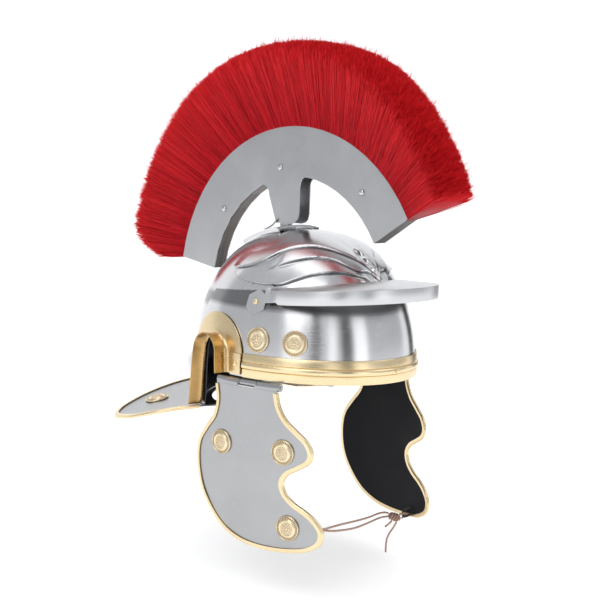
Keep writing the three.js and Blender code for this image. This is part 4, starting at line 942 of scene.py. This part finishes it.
EDGING_HALF = EDGING_THICKNESS / 2
EDGING_SLOT = SHEET / 2 + SEATED_GAP
EDGING_SECTION = [(EDGING_DEPTH, EDGING_SLOT), (EDGING_DEPTH, EDGING_HALF)]
EDGING_SECTION += [(EDGING_HALF * (1 - math.cos(turn)), EDGING_HALF * math.sin(turn))
                   for turn in np.linspace(math.pi / 2, -math.pi / 2, 9)]
EDGING_SECTION += [(EDGING_DEPTH, -EDGING_HALF), (EDGING_DEPTH, -EDGING_SLOT), (EDGING_LIP, -EDGING_SLOT),
                   (EDGING_LIP, EDGING_SLOT)]


def neck_line(spans):
    half = [(out * NECK_HALF_WIDTH, mix(NECK_FRONT_Y, NECK_REAR_Y, back)) for out, back in NECK_OUTLINE]
    whole = half + [(-x, y) for x, y in reversed(half[:-1])]
    return smooth_line(whole, spans)


def build_neck():
    edge = neck_line(160)
    along = np.gradient(edge, axis=0)
    out = np.stack([along[:, 1], -along[:, 0]], axis=1)
    out /= np.linalg.norm(out, axis=1, keepdims=True)
    rim = edge - out * (EDGING_LIP + GAP)
    turn = np.arctan2(edge[:, 0] / BOWL_HALF_WIDTH, -edge[:, 1] / BOWL_HALF_LENGTH)
    root = np.stack([(BOWL_HALF_WIDTH - NECK_LEDGE) * np.sin(turn),
                     -(BOWL_HALF_LENGTH - NECK_LEDGE) * np.cos(turn)], axis=1)
    shares = np.linspace(0, 1, 14)[None, :, None]
    plan = mix(root[:, None, :], rim[:, None, :], shares)
    top = neck_height(plan[..., 0], plan[..., 1])
    surface = np.concatenate([plan, top[..., None]], axis=-1)
    add_piece("neck_plate", *shell(surface, surface - (0, 0, SHEET)), guard_steel, ["neck_guard"])

    def on_edge(i, depth, offset):
        x, y = edge[i] - out[i] * depth
        return x, y, neck_height(x, y) - SHEET / 2 + offset

    add_piece("neck_brass", *sweep(EDGING_SECTION, range(len(edge)), on_edge), brass, ["neck_edging"])


build_neck()

# Brow guard


def on_side(y, z, offset):
    return bowl_point(bowl_angle(y, z), z, offset)


def visor_edge(turn, offset):
    return np.array([(VISOR_HALF_WIDTH + offset) * math.sin(turn),
                     VISOR_CENTRE_Y - (VISOR_HALF_LENGTH + offset) * math.cos(turn)])


def build_brow():
    lean = 3 * SHEET
    corner = 0.5
    section = [(-lean, 0), (-corner, 0), (-corner * 0.3, -corner * 0.3), (0, -corner),
               (0, -VISOR_LIP + corner), (-corner * 0.5, -VISOR_LIP), (-SHEET, -VISOR_LIP), (-SHEET, -SHEET),
               (-lean, -SHEET)]

    def place(turn, out, down):
        rim = visor_edge(turn, max(out, -SHEET))
        z = shelf_height(rim[1]) + down
        angle = math.atan2(rim[0] / BOWL_HALF_WIDTH, -rim[1] / BOWL_HALF_LENGTH)
        close = bowl_point(angle, z, SEATED_GAP + BROW_RELIEF + lean + out)
        if out > -lean and np.linalg.norm(rim) > np.linalg.norm(close[:2]):
            return rim[0], rim[1], z
        return close

    turns = np.radians(np.linspace(-VISOR_SWEEP, VISOR_SWEEP, 150))
    guard = sweep(section, turns, place)

    end = visor_edge(math.radians(VISOR_SWEEP), -SHEET / 2)
    on_lip, on_tab = SEATED_GAP + BROW_RELIEF + lean - SHEET / 2, SEATED_GAP + SHEET / 2
    arm = []
    for share in np.linspace(0, 1, 16):
        y = mix(end[1] - 4, TAB_Y - TAB_RADIUS * 0.6, share)
        offset = mix(on_lip, on_tab, smoothstep(share, 0.2, 0.9))
        arm.append([on_side(y, z, offset)
                    for z in np.linspace(VISOR_SHELF_HEIGHT - VISOR_LIP, VISOR_SHELF_HEIGHT - SHEET, 6)])
    arm = thicken(np.array(arm), SHEET)

    sides = 48
    rings = []
    for share in (0, 0.35, 0.7, 0.93, 1):
        ring = []
        for step in range(sides):
            turn = 2 * math.pi * step / sides
            side = math.cos(math.pi / 6) / math.cos((turn + math.pi / 2) % (math.pi / 3) - math.pi / 6)
            reach = TAB_RADIUS * share * side
            ring.append((TAB_Y + reach * math.cos(turn), TAB_Z + reach * math.sin(turn)))
        rings.append(ring)
    front = np.array([[on_side(y, z, SEATED_GAP + SHEET) for y, z in ring] for ring in rings])
    back = np.array([[on_side(y, z, SEATED_GAP) for y, z in ring] for ring in rings])
    count = len(rings) * sides
    last = count - sides
    faces = [tuple(reversed(face)) for face in grid_faces(len(rings), sides, wrap=True)]
    faces += grid_faces(len(rings), sides, count, wrap=True)
    for j in range(sides):
        a, b = last + j, last + (j + 1) % sides
        faces.append((a, b, count + b, count + a))
    tab = np.concatenate([front.reshape(-1, 3), back.reshape(-1, 3)]), faces
    whole = join_parts(guard, arm, mirrored(*arm), tab, mirrored(*tab))
    add_piece("brow_steel", *whole, brow_steel, ["brow_guard"])


def dome(radius, place, normal):
    shares = [(1, 0.15), (0.93, 0.35), (0.78, 0.52), (0.55, 0.65), (0.28, 0.71), (0.001, 0.72)]
    profile = [(radius, -GAP / 2)] + [(radius * out, radius * up) for out, up in shares]
    return turned(profile, 28, place, normal)


def build_rivets():
    angle = bowl_angle(TAB_Y, TAB_Z)
    place = bowl_point(angle, TAB_Z, SEATED_GAP + SHEET + GAP)
    add_pair("tab_rivet", dome(SMALL_RIVET_RADIUS, place, bowl_normal(angle, TAB_Z)), brass, ["brow_rivet"])
    middle = BAND_HEIGHT / 2
    front = bowl_point(0, middle, SEATED_GAP + BAND_THICKNESS + BAND_RIDGE + GAP)
    add_piece("front_rivet", *dome(SMALL_RIVET_RADIUS, front, bowl_normal(0, middle)), brass, ["band_rivet"])
    head = CREST_HALF_THICKNESS + GAP
    profile = [(CREST_HEAD_RADIUS * out, CREST_HEAD_HEIGHT * up)
               for out, up in ((1, 0), (0.97, 0.35), (0.8, 0.7), (0.5, 0.93), (0.001, 1))]
    for name, (degrees, radius) in CREST_RIVETS.items():
        turn = math.radians(degrees)
        y, z = CREST_CENTRE_Y + radius * math.cos(turn), CREST_CENTRE_Z + radius * math.sin(turn)
        ends = [turned(profile, 28, (side * head, y, z), (side, 0, 0)) for side in (-1, 1)]
        add_piece(f"plate_rivet_{name}", *join_parts(*ends), mirror_steel, [f"crest_rivet_{name}"])


build_brow()
build_rivets()

# Rim band and clips


def build_band():
    middle = BAND_HEIGHT / 2
    crown = BAND_THICKNESS + BAND_RIDGE
    foot = BAND_RIDGE_FOOT / 2
    groove = BAND_THICKNESS - BAND_GROOVE
    section = [(0, 0), (BAND_THICKNESS - 0.3, 0), (BAND_THICKNESS, 0.4)]
    section += [(BAND_THICKNESS, middle - foot - BAND_GROOVE), (groove, middle - foot - 0.1)]
    for t in np.linspace(0, 1, 9):
        section.append((BAND_THICKNESS + (crown - BAND_THICKNESS) * math.sin(math.pi * t) ** 0.5 if 0 < t < 1
                        else BAND_THICKNESS, mix(middle - foot, middle + foot, t)))
    section += [(groove, middle + foot + 0.1), (BAND_THICKNESS, middle + foot + BAND_GROOVE)]
    section += [(BAND_THICKNESS, BAND_HEIGHT - 0.4), (BAND_THICKNESS - 0.3, BAND_HEIGHT), (0, BAND_HEIGHT)]
    end = float(bowl_angle(EAR_FLANGE_CENTRE_Y - EAR_FLANGE_RADIUS - SHEET, 0))
    turns = np.linspace(-end, end, 180)
    band = sweep(section, turns, lambda angle, out, z: bowl_point(angle, z, SEATED_GAP + out))
    add_piece("band_brass", *band, brass, ["rim_band"])

    lift = 3 * SEATED_GAP + SHEET
    front_y, rear_y = EAR_FLANGE_CENTRE_Y - EAR_FLANGE_RADIUS, EAR_FRONT_FOOT_Y - EAR_FILLET - SEATED_GAP
    grid = [[on_side(y, z, lift + CLIP_THICKNESS / 2)
             for z in np.linspace(EAR_FRONT_FOOT_Z, EAR_FRONT_FOOT_Z + CLIP_HEIGHT, 8)]
            for y in np.linspace(front_y, rear_y, 8)]
    y, z = (front_y + rear_y) / 2, EAR_FRONT_FOOT_Z + CLIP_HEIGHT / 2
    rivet = dome(SMALL_RIVET_RADIUS, on_side(y, z, lift + CLIP_THICKNESS), bowl_normal(bowl_angle(y, z), z))
    add_pair("clip_brass", join_parts(thicken(np.array(grid), CLIP_THICKNESS), rivet), brass, ["band_clip"])


build_band()

# Cheek guards


def hinge_end(y, outset):
    return np.array([bowl_point(bowl_angle(y, 0), 0, outset)[0], y, HINGE_AXIS_Z])


HINGE_REAR = hinge_end(HINGE_REAR_Y, HINGE_OUTSET["rear"])
HINGE_FRONT = hinge_end(HINGE_FRONT_Y, HINGE_OUTSET["front"])


def on_hinge(y):
    return mix(HINGE_REAR, HINGE_FRONT, (HINGE_REAR_Y - y) / (HINGE_REAR_Y - HINGE_FRONT_Y))


def cheek_centre():
    outward = np.array([HINGE_REAR[1] - HINGE_FRONT[1], HINGE_FRONT[0] - HINGE_REAR[0], 0])
    outward /= np.linalg.norm(outward)
    half = np.linalg.norm(HINGE_REAR - HINGE_FRONT) / 2
    middle = mix(HINGE_REAR, HINGE_FRONT, 0.5) + outward * (KNUCKLE_RADIUS - SHEET / 2)
    return middle - outward * math.sqrt(CHEEK_CURVE_RADIUS**2 - half**2)


CHEEK_CENTRE = cheek_centre()
CHEEK_REAR_Y = HINGE_REAR_Y + CHEEK_REAR_OVERHANG


def cheek_side(share_forward, share_down):
    return CHEEK_REAR_Y - share_forward * CHEEK_LENGTH, CHEEK_TOP_Z - share_down * CHEEK_HEIGHT


def cheek_point(y, z, offset):
    """Towards its lower rear edge the sheet leans in under the jaw."""
    radius = CHEEK_CURVE_RADIUS + offset
    rear = 1 - (CHEEK_REAR_Y - y) / CHEEK_LENGTH
    lean = CHEEK_JAW_LEAN * rear * ((CHEEK_TOP_Z - z) / CHEEK_HEIGHT)
    return np.array([CHEEK_CENTRE[0] + math.sqrt(radius**2 - (y - CHEEK_CENTRE[1]) ** 2) - lean, y, z])


def cheek_normal(y, z):
    forward = cheek_point(y - 1, z, 0) - cheek_point(y + 1, z, 0)
    up = cheek_point(y, z + 1, 0) - cheek_point(y, z - 1, 0)
    normal = np.cross(up, forward)
    return normal / np.linalg.norm(normal)


def cheek_outline():
    lobes = smooth_line([cheek_side(*row) for row in CHEEK_OUTLINE], 220)
    trim_top = CHEEK_TOP_Z - GAP
    rear, front = lobes[0][0], lobes[-1][0]
    return np.array([(rear, KNUCKLE_RADIUS), (rear, trim_top), *lobes[1:-1], (front, trim_top),
                     (front, KNUCKLE_RADIUS)])


def cheek_layer(outline, inner, outer, top):
    """A layer of the cheek sheet between two offsets, inside an outline and below a height."""
    shape = bmesh.new()
    shape.faces.new([shape.verts.new((0, y, min(z, top))) for y, z in outline])
    bmesh.ops.remove_doubles(shape, verts=shape.verts, dist=0.001)
    bmesh.ops.triangulate(shape, faces=shape.faces[:])
    low, high = np.min(outline, axis=0), np.max(outline, axis=0)
    for axis in (1, 2):
        for value in np.arange(low[axis - 1] + 6, high[axis - 1], 6):
            spot, normal = [0, 0, 0], [0, 0, 0]
            spot[axis], normal[axis] = value, 1
            everything = shape.verts[:] + shape.edges[:] + shape.faces[:]
            bmesh.ops.bisect_plane(shape, geom=everything, dist=0.001, plane_co=spot, plane_no=normal)
    shape.verts.index_update()
    flat = [vert.co.copy() for vert in shape.verts]
    faces = [tuple(vert.index for vert in face.verts) for face in shape.faces]
    border = [(loop.vert.index, loop.link_loop_next.vert.index)
              for edge in shape.edges if edge.is_boundary for loop in edge.link_loops]
    shape.free()
    front = [cheek_point(p.y, p.z, outer) for p in flat]
    back = [cheek_point(p.y, p.z, inner) for p in flat]
    count = len(flat)
    made = faces + [tuple(count + i for i in reversed(face)) for face in faces]
    made += [(b, a, count + a, count + b) for a, b in border]
    a, b, c = (front[i] for i in faces[0][:3])
    if np.cross(b - a, c - a)[0] < 0:
        made = [tuple(reversed(face)) for face in made]
    return np.array(front + back), made


def barrel(from_y, to_y):
    """A rolled knuckle on the hinge line, with eased ends."""
    start, end = on_hinge(from_y), on_hinge(to_y)
    length = np.linalg.norm(end - start)
    ease = 0.35
    profile = [(0.001, 0), (KNUCKLE_RADIUS - ease, 0), (KNUCKLE_RADIUS, ease),
               (KNUCKLE_RADIUS, length - ease), (KNUCKLE_RADIUS - ease, length), (0.001, length)]
    return turned(profile, 36, start, (end - start) / length)


def build_cheeks():
    outline = cheek_outline()
    half = SHEET / 2
    middle = (KNUCKLE_SPLITS["rear"] - GAP / 2, KNUCKLE_SPLITS["front"] + GAP / 2)
    plate_top = HINGE_AXIS_Z - 0.84 * KNUCKLE_RADIUS
    plate = cheek_layer(inset(outline, EDGING_LIP + GAP), -half, half, plate_top)
    neck = cheek_neck(outline, half, middle)
    rolls = [barrel(HINGE_REAR_Y, middle[0] + GAP), barrel(middle[1] - GAP, HINGE_FRONT_Y)]
    leaf_offset = -BOWL_WALL - SEATED_GAP - SHEET / 2
    leaf = np.array([[bowl_point(bowl_angle(y, z), max(z, 0), leaf_offset) * (1, 1, 0) + (0, 0, z)
                      for z in np.linspace(HINGE_AXIS_Z, HINGE_LEAF_HEIGHT, 8)]
                     for y in np.linspace(*middle, 6)])
    add_pair("leaf_steel", join_parts(barrel(*middle), thicken(leaf, SHEET)), guard_steel, ["hinge_leaf"])
    add_pair("cheek_steel", join_parts(plate, *neck, *rolls), guard_steel, ["cheek_guard"])

    rings = {depth: inset(outline, depth) for depth in {depth for depth, _ in EDGING_SECTION}}
    stations = range(1, len(outline) - 1)
    edging = sweep(EDGING_SECTION, stations, lambda i, depth, offset: cheek_point(*rings[depth][i], offset))
    add_pair("cheek_brass", edging, brass, ["cheek_edging"])

    back = -half - GAP
    lining = cheek_layer(inset(outline, EDGING_DEPTH + GAP), back - LINING_THICKNESS, back, CHEEK_TOP_Z - GAP)
    add_pair("cheek_leather", lining, black_lining, ["cheek_lining"])


def cheek_neck(outline, half, middle):
    """The strips of sheet that run up from the plate into the two outer knuckles."""
    inside = EDGING_LIP + GAP
    spans = [(outline[0][0] - inside, middle[0] + GAP), (middle[1] - GAP, outline[-1][0] + inside)]
    strips = []
    for start, end in spans:
        heights = np.linspace(CHEEK_TOP_Z - GAP - 1, HINGE_AXIS_Z, 3)
        grid = np.array([[cheek_point(y, z, -GAP) for z in heights] for y in np.linspace(start, end, 5)])
        strips.append(thicken(grid, 2 * half))
    return strips


build_cheeks()


def loop_route(side, y, z, lie, reach, lift):
    """Points of a small loop that leaves the lining and is drawn along it."""
    foot = cheek_point(y, z, -SHEET / 2 - GAP - LINING_THICKNESS)
    inward = -cheek_normal(y, z)
    level = -np.cross((0, 0, 1), inward)
    along = level * math.cos(math.radians(lie)) + np.array([0, 0, math.sin(math.radians(lie))])
    across = np.cross(along, inward)
    route = []
    for aside, out in LOOP_SHARES:
        turn = out * math.pi / 2
        raised = inward * (2 * SEATED_GAP + lift * math.sin(turn))
        drawn = along * reach * (1 - math.cos(turn))
        route.append((foot + raised + drawn + across * LOOP_SPREAD * aside) * (side, 1, 1) * MM)
    return route


def build_loops():
    for name, side in (("left", 1), ("right", -1)):
        route = loop_route(side, **TIE_LOOPS[name])
        add_cord(f"lining_loop_{name}", route, LOOP_DIAMETER, black_loop, [f"tie_loop_{name}"], 60)


build_loops()

# Rosettes


def rosette_pattern(share, turn):
    """Relief over the dome and share of shadow: plain rim, ticks, smooth swell, beads and swirled boss."""

    def swell(at, width):
        return max(0.0, 1 - ((share - at) / width) ** 2)

    tick = 0.5 + 0.5 * math.cos(TICKS * turn)
    bead = 0.6 + 0.4 * math.cos(BEADS * turn)
    petal = 0.5 + 0.5 * math.cos(PETALS * turn + 14 * share)
    relief = 0.26 * swell(0.955, 0.05) + 0.2 * swell(0.83, 0.075) * tick + 0.22 * swell(0.62, 0.13)
    relief += 0.2 * swell(0.42, 0.055) * bead + 0.16 * swell(0.24, 0.1) * petal + 0.26 * swell(0, 0.12)
    shadow = TICK_SHADE * swell(0.83, 0.085) * (1 - tick) + HOLLOW_SHADE * max(0.0, 1 - relief / 0.13)
    return relief, min(1.0, shadow)


def rosette_mesh():
    rings, sides = 34, 5 * TICKS
    points, painted_shades = [], []
    for i in range(rings + 1):
        share = max(0.001, i / rings)
        for j in range(sides):
            turn = 2 * math.pi * j / sides
            relief, shadow = rosette_pattern(share, turn)
            height = ROSETTE_HEIGHT * (0.12 + 0.62 * (1 - share**2) + relief)
            reach = share * ROSETTE_RADIUS
            points.append((reach * math.cos(turn), reach * math.sin(turn), height))
            painted_shades.append(shadow)
    points += [(x, y, 0) for x, y, _ in points[-sides:]]
    painted_shades += [0.0] * sides
    faces = grid_faces(rings + 2, sides, wrap=True)
    mesh = bpy.data.meshes.new("rosette")
    mesh.from_pydata((np.array(points) * MM).tolist(), [], faces)
    mesh.validate()
    mesh.shade_smooth()
    mesh.set_sharp_from_angle(angle=math.radians(70))
    mesh.attributes.new("painted_shade", "FLOAT", "POINT").data.foreach_set("value", painted_shades)
    mesh.materials.append(rosette_metal)
    return mesh


def add_rosette(mesh, name, place, normal):
    for side in ("left", "right"):
        sign = 1 if side == "left" else -1
        normal_here = Vector((sign * normal[0], normal[1], normal[2]))
        turn = Vector((0, 0, 1)).rotation_difference(normal_here).to_matrix().to_4x4()
        spot = Vector(in_frame((sign * place[0], place[1], place[2])).tolist())
        piece = bpy.data.objects.new(f"{name}_stamped_{side}", mesh)
        piece.matrix_world = Matrix.Translation(spot) @ turn
        bpy.context.scene.collection.objects.link(piece)
        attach(piece, "root")
        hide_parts(f"{name}_{side}")


def build_rosettes():
    mesh = rosette_mesh()
    for name, (y, z) in BOWL_ROSETTES.items():
        angle = bowl_angle(y, z)
        add_rosette(mesh, f"bowl_rosette_{name}", bowl_point(angle, z, GAP), bowl_normal(angle, z))
    for name, shares in CHEEK_ROSETTES.items():
        y, z = cheek_side(*shares)
        normal = cheek_normal(y, z)
        add_rosette(mesh, f"cheek_rosette_{name}", cheek_point(y, z, 0) + normal * (SHEET / 2 + GAP), normal)
    x, y = NECK_ROSETTE
    around = ((x - 1, y), (x + 1, y), (x, y - 1), (x, y + 1))
    surface = [np.array([px, py, neck_height(px, py)]) for px, py in around]
    normal = np.cross(surface[1] - surface[0], surface[3] - surface[2])
    normal /= np.linalg.norm(normal)
    add_rosette(mesh, "neck_rosette", np.array([x, y, neck_height(x, y)]) + normal * SEATED_GAP, normal)


build_rosettes()

# Crest


def bristle_length(degrees):
    """Longest towards the back, shorter where the brush ends over the brow."""
    to_front = smoothstep(degrees, 105, CREST_FRONT_ANGLE)
    to_rear = smoothstep(-degrees, -75, -CREST_REAR_ANGLE)
    return BRISTLE_LENGTH * (
        1 - BRISTLE_SHORTENING["front"] * to_front - BRISTLE_SHORTENING["rear"] * to_rear)


def brush_rounding(degrees, side):
    """The fibres are trimmed shorter at the two ends and a little towards the sides."""
    rear = np.clip((CREST_REAR_ANGLE + BRUSH_END_DEGREES - degrees) / BRUSH_END_DEGREES, 0, 1)
    front = np.clip((degrees - CREST_FRONT_ANGLE + BRUSH_END_DEGREES) / BRUSH_END_DEGREES, 0, 1)
    return 1 - BRUSH_TRIM["rear"] * rear**2 - BRUSH_TRIM["front"] * front**2 - BRUSH_TRIM["side"] * side**4


def brush_point(degrees, side, reach, length):
    """A point of the brush: angle of its root, side from -1 to 1, share of the length."""
    root = CREST_OUTER_RADIUS - CORE_MARGIN + GAP
    base = CREST_INNER_WIDTH / 2 - GAP
    splay = np.radians(BRISTLE_SPLAY * side)
    middle = (CREST_REAR_ANGLE + CREST_FRONT_ANGLE) / 2
    turn = np.radians(middle + (degrees - middle) * mix(1, BRISTLE_FAN, reach))
    free = np.maximum(0, reach * length - CORE_MARGIN)
    radius = root + np.minimum(reach * length, CORE_MARGIN) + free * np.cos(splay)
    out = base * side + free * np.sin(splay)
    y, z = CREST_CENTRE_Y + radius * np.cos(turn), CREST_CENTRE_Z + radius * np.sin(turn)
    return np.stack([out, y, z], axis=-1)


def add_fibres(name, start, end, count, nodes, seed):
    """One section of the brush: straight three-sided fibres that fan out of the plates over an inner body."""
    random = np.random.default_rng(seed)
    degrees = random.uniform(start, end, count)
    side = np.clip(random.uniform(-1, 1, count), -0.985, 0.985)
    lock = np.sin(np.radians(degrees) * 61) * 0.5 + np.sin(np.radians(degrees) * 143 + 3 * side) * 0.5
    length = bristle_length(degrees) * brush_rounding(degrees, side) + CORE_MARGIN
    length += LOCK_REACH * lock - random.exponential(FRINGE, count)
    length -= SIDE_TRIM * random.random(count) * side**6
    length += STRAY_REACH * random.random(count) * (random.random(count) < STRAY_SHARE)
    lean = random.normal(0, BRISTLE_LEAN, count)
    scatter = random.exponential(END_SCATTER, count)
    twist = random.uniform(0, 2 * np.pi, count)
    thick = BRISTLE_DIAMETER / 2 * random.uniform(0.7, 1.15, count)
    shares = np.array([0.0, 1.0])
    rings = []
    for share in shares:
        tilt = np.clip(degrees + lean * share, CREST_REAR_ANGLE + scatter, CREST_FRONT_ANGLE - scatter)
        centre = brush_point(tilt, side, np.full(count, share), length)
        turn = np.radians(tilt)
        across = np.stack([np.ones(count), np.zeros(count), np.zeros(count)], axis=-1)
        round_about = np.stack([np.zeros(count), -np.sin(turn), np.cos(turn)], axis=-1)
        width = thick * (0.6 if share else 1)
        for corner in range(3):
            angle = twist + corner * 2 * np.pi / 3
            rings.append(centre + (across * np.cos(angle)[:, None] + round_about * np.sin(angle)[:, None])
                         * width[:, None])
    points = np.stack(rings, axis=1).reshape(-1, 3)
    base = np.arange(count)[:, None] * 6
    faces = np.concatenate([base + np.array(quad) for quad in ((0, 1, 4, 3), (1, 2, 5, 4), (2, 0, 3, 5))])
    tone = np.repeat(np.clip(random.normal(0.5, 0.25, count) + 0.12 * lock, 0, 1), 6)
    # The along share runs from root to tip and drives the painted shade at the roots and the painted light at
    # the tips.
    along = np.tile(np.repeat(shares, 3), count)

    body_rows, body_columns, body_reach = 60, 13, 0.8
    body_side = np.linspace(-0.9, 0.9, body_columns)
    body_turns = np.linspace(start, end, body_rows)
    body_length = bristle_length(body_turns)[:, None] * brush_rounding(body_turns[:, None], body_side)
    body_length += CORE_MARGIN
    body_shape = (body_rows, body_columns)
    outer = brush_point(body_turns[:, None], body_side[None, :], np.full(body_shape, body_reach), body_length)
    inner = brush_point(body_turns[:, None], body_side[None, :], np.zeros(body_shape), body_length)
    body_points, body_faces = shell(outer, inner)
    mesh = bpy.data.meshes.new(name)
    offset = len(points)
    all_faces = faces.tolist() + [[offset + i for i in face] for face in body_faces]
    mesh.from_pydata(in_frame(np.concatenate([points, body_points])).tolist(), [], all_faces)
    body_count = body_rows * body_columns
    # The inner body gets the root end of the painted shade and a low tone, so it shows dark inside the brush.
    body_along = np.concatenate([np.full(body_count, 0.4), np.zeros(body_count)])
    for attribute, values in (("tone", np.concatenate([tone, np.full(len(body_points), 0.1)])),
                              ("along", np.concatenate([along, body_along]))):
        mesh.attributes.new(attribute, "FLOAT", "POINT").data.foreach_set("value", values.astype(np.float32))
    mesh.shade_smooth()
    mesh.materials.append(red_bristle)
    piece = bpy.data.objects.new(name, mesh)
    bpy.context.scene.collection.objects.link(piece)
    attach(piece, "root")
    if nodes:
        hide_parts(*nodes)


def build_brush():
    sections = np.linspace(CREST_REAR_ANGLE, CREST_FRONT_ANGLE, 5)
    names = ["rear", "upper_rear", "upper_front", "front"]
    for seed, (name, start, end) in enumerate(zip(names, sections, sections[1:])):
        count = BRISTLES_PER_SECTION
        add_fibres(f"brush_{name}", start, end, count, ["crest_plume"] if name == "rear" else [], seed)


def bevel(node, width):
    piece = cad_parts[node]
    modifier = piece.modifiers.new("ease", "BEVEL")
    modifier.width = width * MM
    modifier.segments = 2
    modifier.limit_method = "ANGLE"
    modifier.angle_limit = math.radians(40)
    modifier.harden_normals = False


def build_seat():
    inside = SEAT_HALF_WIDTH - SEAT_SKIRT
    middle = np.linspace(-inside * 0.95, inside * 0.95, 30)
    columns = np.array([-SEAT_HALF_WIDTH, -inside, -inside + 0.1, *middle, inside - 0.1, inside,
                        SEAT_HALF_WIDTH])
    rows = np.linspace(SEAT_FRONT_Y, SEAT_REAR_Y, 16)

    def face(is_top):
        under = [SEAT_RISE - SHEET if abs(x) < inside else SEATED_GAP for x in columns]
        lifts = [SEAT_RISE] * len(columns) if is_top else under
        return np.array([[over_bowl(x, y, lift) for x, lift in zip(columns, lifts)] for y in rows])

    add_piece("seat_steel", *shell(face(True), face(False)), mirror_steel, ["crest_seat"])


build_brush()
build_seat()


def paint_kept_nodes():
    """The solids that stay in view get their materials and eased edges."""
    for name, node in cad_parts.items():
        if node.hide_render:
            continue
        node.data.shade_smooth()
        node.data.materials.clear()
        node.data.materials.append(streaked_sheet if name == "crest_core" else steel)
        node.data.set_sharp_from_angle(angle=math.radians(40))
    for name in ("crest_plate_left", "crest_plate_right", "crest_core", "crest_foot"):
        bevel(name, 0.25)


paint_kept_nodes()

# Floor and light

FLOOR_Z = float(cad_box[0].z) - 0.002

# Degrees from the front towards the wearer's left, width in metres and glow
SOFT_BOXES = [("side_box", -76, 0.5, 0.68), ("camera_box", -37, 0.28, 0.85), ("front_box", -4, 0.5, 0.95)]
DARK_CARDS = [("card_near", -54, 0.24), ("card_front", -21, 0.3), ("card_side", 92, 0.45)]

# Place in metres, size and power
AREA_LIGHTS = {
    "key": ((-1.5, -0.6, 1.4), 1.5, 11),
    "top": ((0.1, 0.3, 1.8), 1.4, 8),
    "fill": ((1.0, -1.2, 1.3), 1.0, 4),
}
LIGHT_AIM = (0, 0, -0.05)
BOX_DISTANCE = 1.7
BOX_HEIGHT = 1.5
CARD_DISTANCE = 1.45
CARD_TOP = 1.1
WORLD_GLOW = 0.6
FLOOR_GLOW = 0.42


def plain(name, colour, roughness, glow):
    paint = Paint(name, roughness=roughness)
    clouds = paint.noise(3, 2)
    paint.set("Base Color", paint.ramp(clouds, 0.3, 0.7, colour, tuple(0.985 * part for part in colour)))
    paint.shader.inputs["Emission Color"].default_value = (1, 1, 1, 1)
    paint.shader.inputs["Emission Strength"].default_value = glow
    return paint.material


def build_stage():
    half, flat, rise, bend = 6.0, 1.6, 5.0, 1.6
    profile = [(-half, 0), (flat, 0)]
    profile += [(flat + bend * math.sin(turn), bend * (1 - math.cos(turn)))
                for turn in np.linspace(0, math.pi / 2, 13)[1:]]
    profile.append((flat + bend, rise))
    facing = math.radians(-CAMERA["azimuth"])
    forward = Vector((math.sin(facing), math.cos(facing), 0))
    right = Vector((math.cos(facing), -math.sin(facing), 0))
    points = [forward * y + right * x + Vector((0, 0, FLOOR_Z + z))
              for y, z in profile for x in (-half, half)]
    faces = [(2 * i, 2 * i + 1, 2 * i + 3, 2 * i + 2) for i in range(len(profile) - 1)]
    mesh = bpy.data.meshes.new("studio_floor")
    mesh.from_pydata([tuple(p) for p in points], [], faces)
    mesh.shade_smooth()
    mesh.materials.append(plain("pale_floor", (0.9, 0.9, 0.9), 0.8, FLOOR_GLOW))
    floor = bpy.data.objects.new("studio_floor", mesh)
    bpy.context.scene.collection.objects.link(floor)


def add_light(name, place, size, power, height=None):
    data = bpy.data.lights.new(name, "AREA")
    data.energy = power
    data.shape = "RECTANGLE"
    data.size = size
    data.size_y = height or size
    light = bpy.data.objects.new(name, data)
    light.location = place
    light.rotation_mode = "QUATERNION"
    light.rotation_quaternion = (Vector(place) - Vector(LIGHT_AIM)).to_track_quat("Z", "Y")
    bpy.context.scene.collection.objects.link(light)


def add_card(name, degrees, width):
    """An upright dark card that stands round the helmet and shows only as a dark line in the metal."""
    towards = Vector((math.sin(math.radians(degrees)), -math.cos(math.radians(degrees)), 0))
    across = Vector((towards.y, -towards.x, 0)) * width / 2
    foot = FLOOR_Z + 0.001
    points = [towards * CARD_DISTANCE + across * side + Vector((0, 0, z))
              for side, z in ((-1, foot), (1, foot), (1, CARD_TOP), (-1, CARD_TOP))]
    mesh = bpy.data.meshes.new(name)
    mesh.from_pydata([tuple(p) for p in points], [], [(0, 1, 2, 3)])
    mesh.materials.append(dark_card)
    card = bpy.data.objects.new(name, mesh)
    bpy.context.scene.collection.objects.link(card)


def build_light():
    world = bpy.data.worlds.new("studio")
    world.use_nodes = True
    background = world.node_tree.nodes["Background"]
    background.inputs["Color"].default_value = (0.93, 0.95, 1, 1)
    background.inputs["Strength"].default_value = WORLD_GLOW
    bpy.context.scene.world = world
    for name, (place, size, power) in AREA_LIGHTS.items():
        add_light(name, place, size, power)
    for name, degrees, width, glow in SOFT_BOXES:
        place = Vector((math.sin(math.radians(degrees)), -math.cos(math.radians(degrees)), 0)) * BOX_DISTANCE
        add_light(name, place, width, glow * math.pi * width * BOX_HEIGHT, BOX_HEIGHT)
    for name, degrees, width in DARK_CARDS:
        add_card(name, degrees, width)


dark_card = plain("dark_card", (0.02, 0.02, 0.02), 0.9, 0)
build_stage()
build_light()
bpy.context.scene.view_settings.view_transform = "Standard"
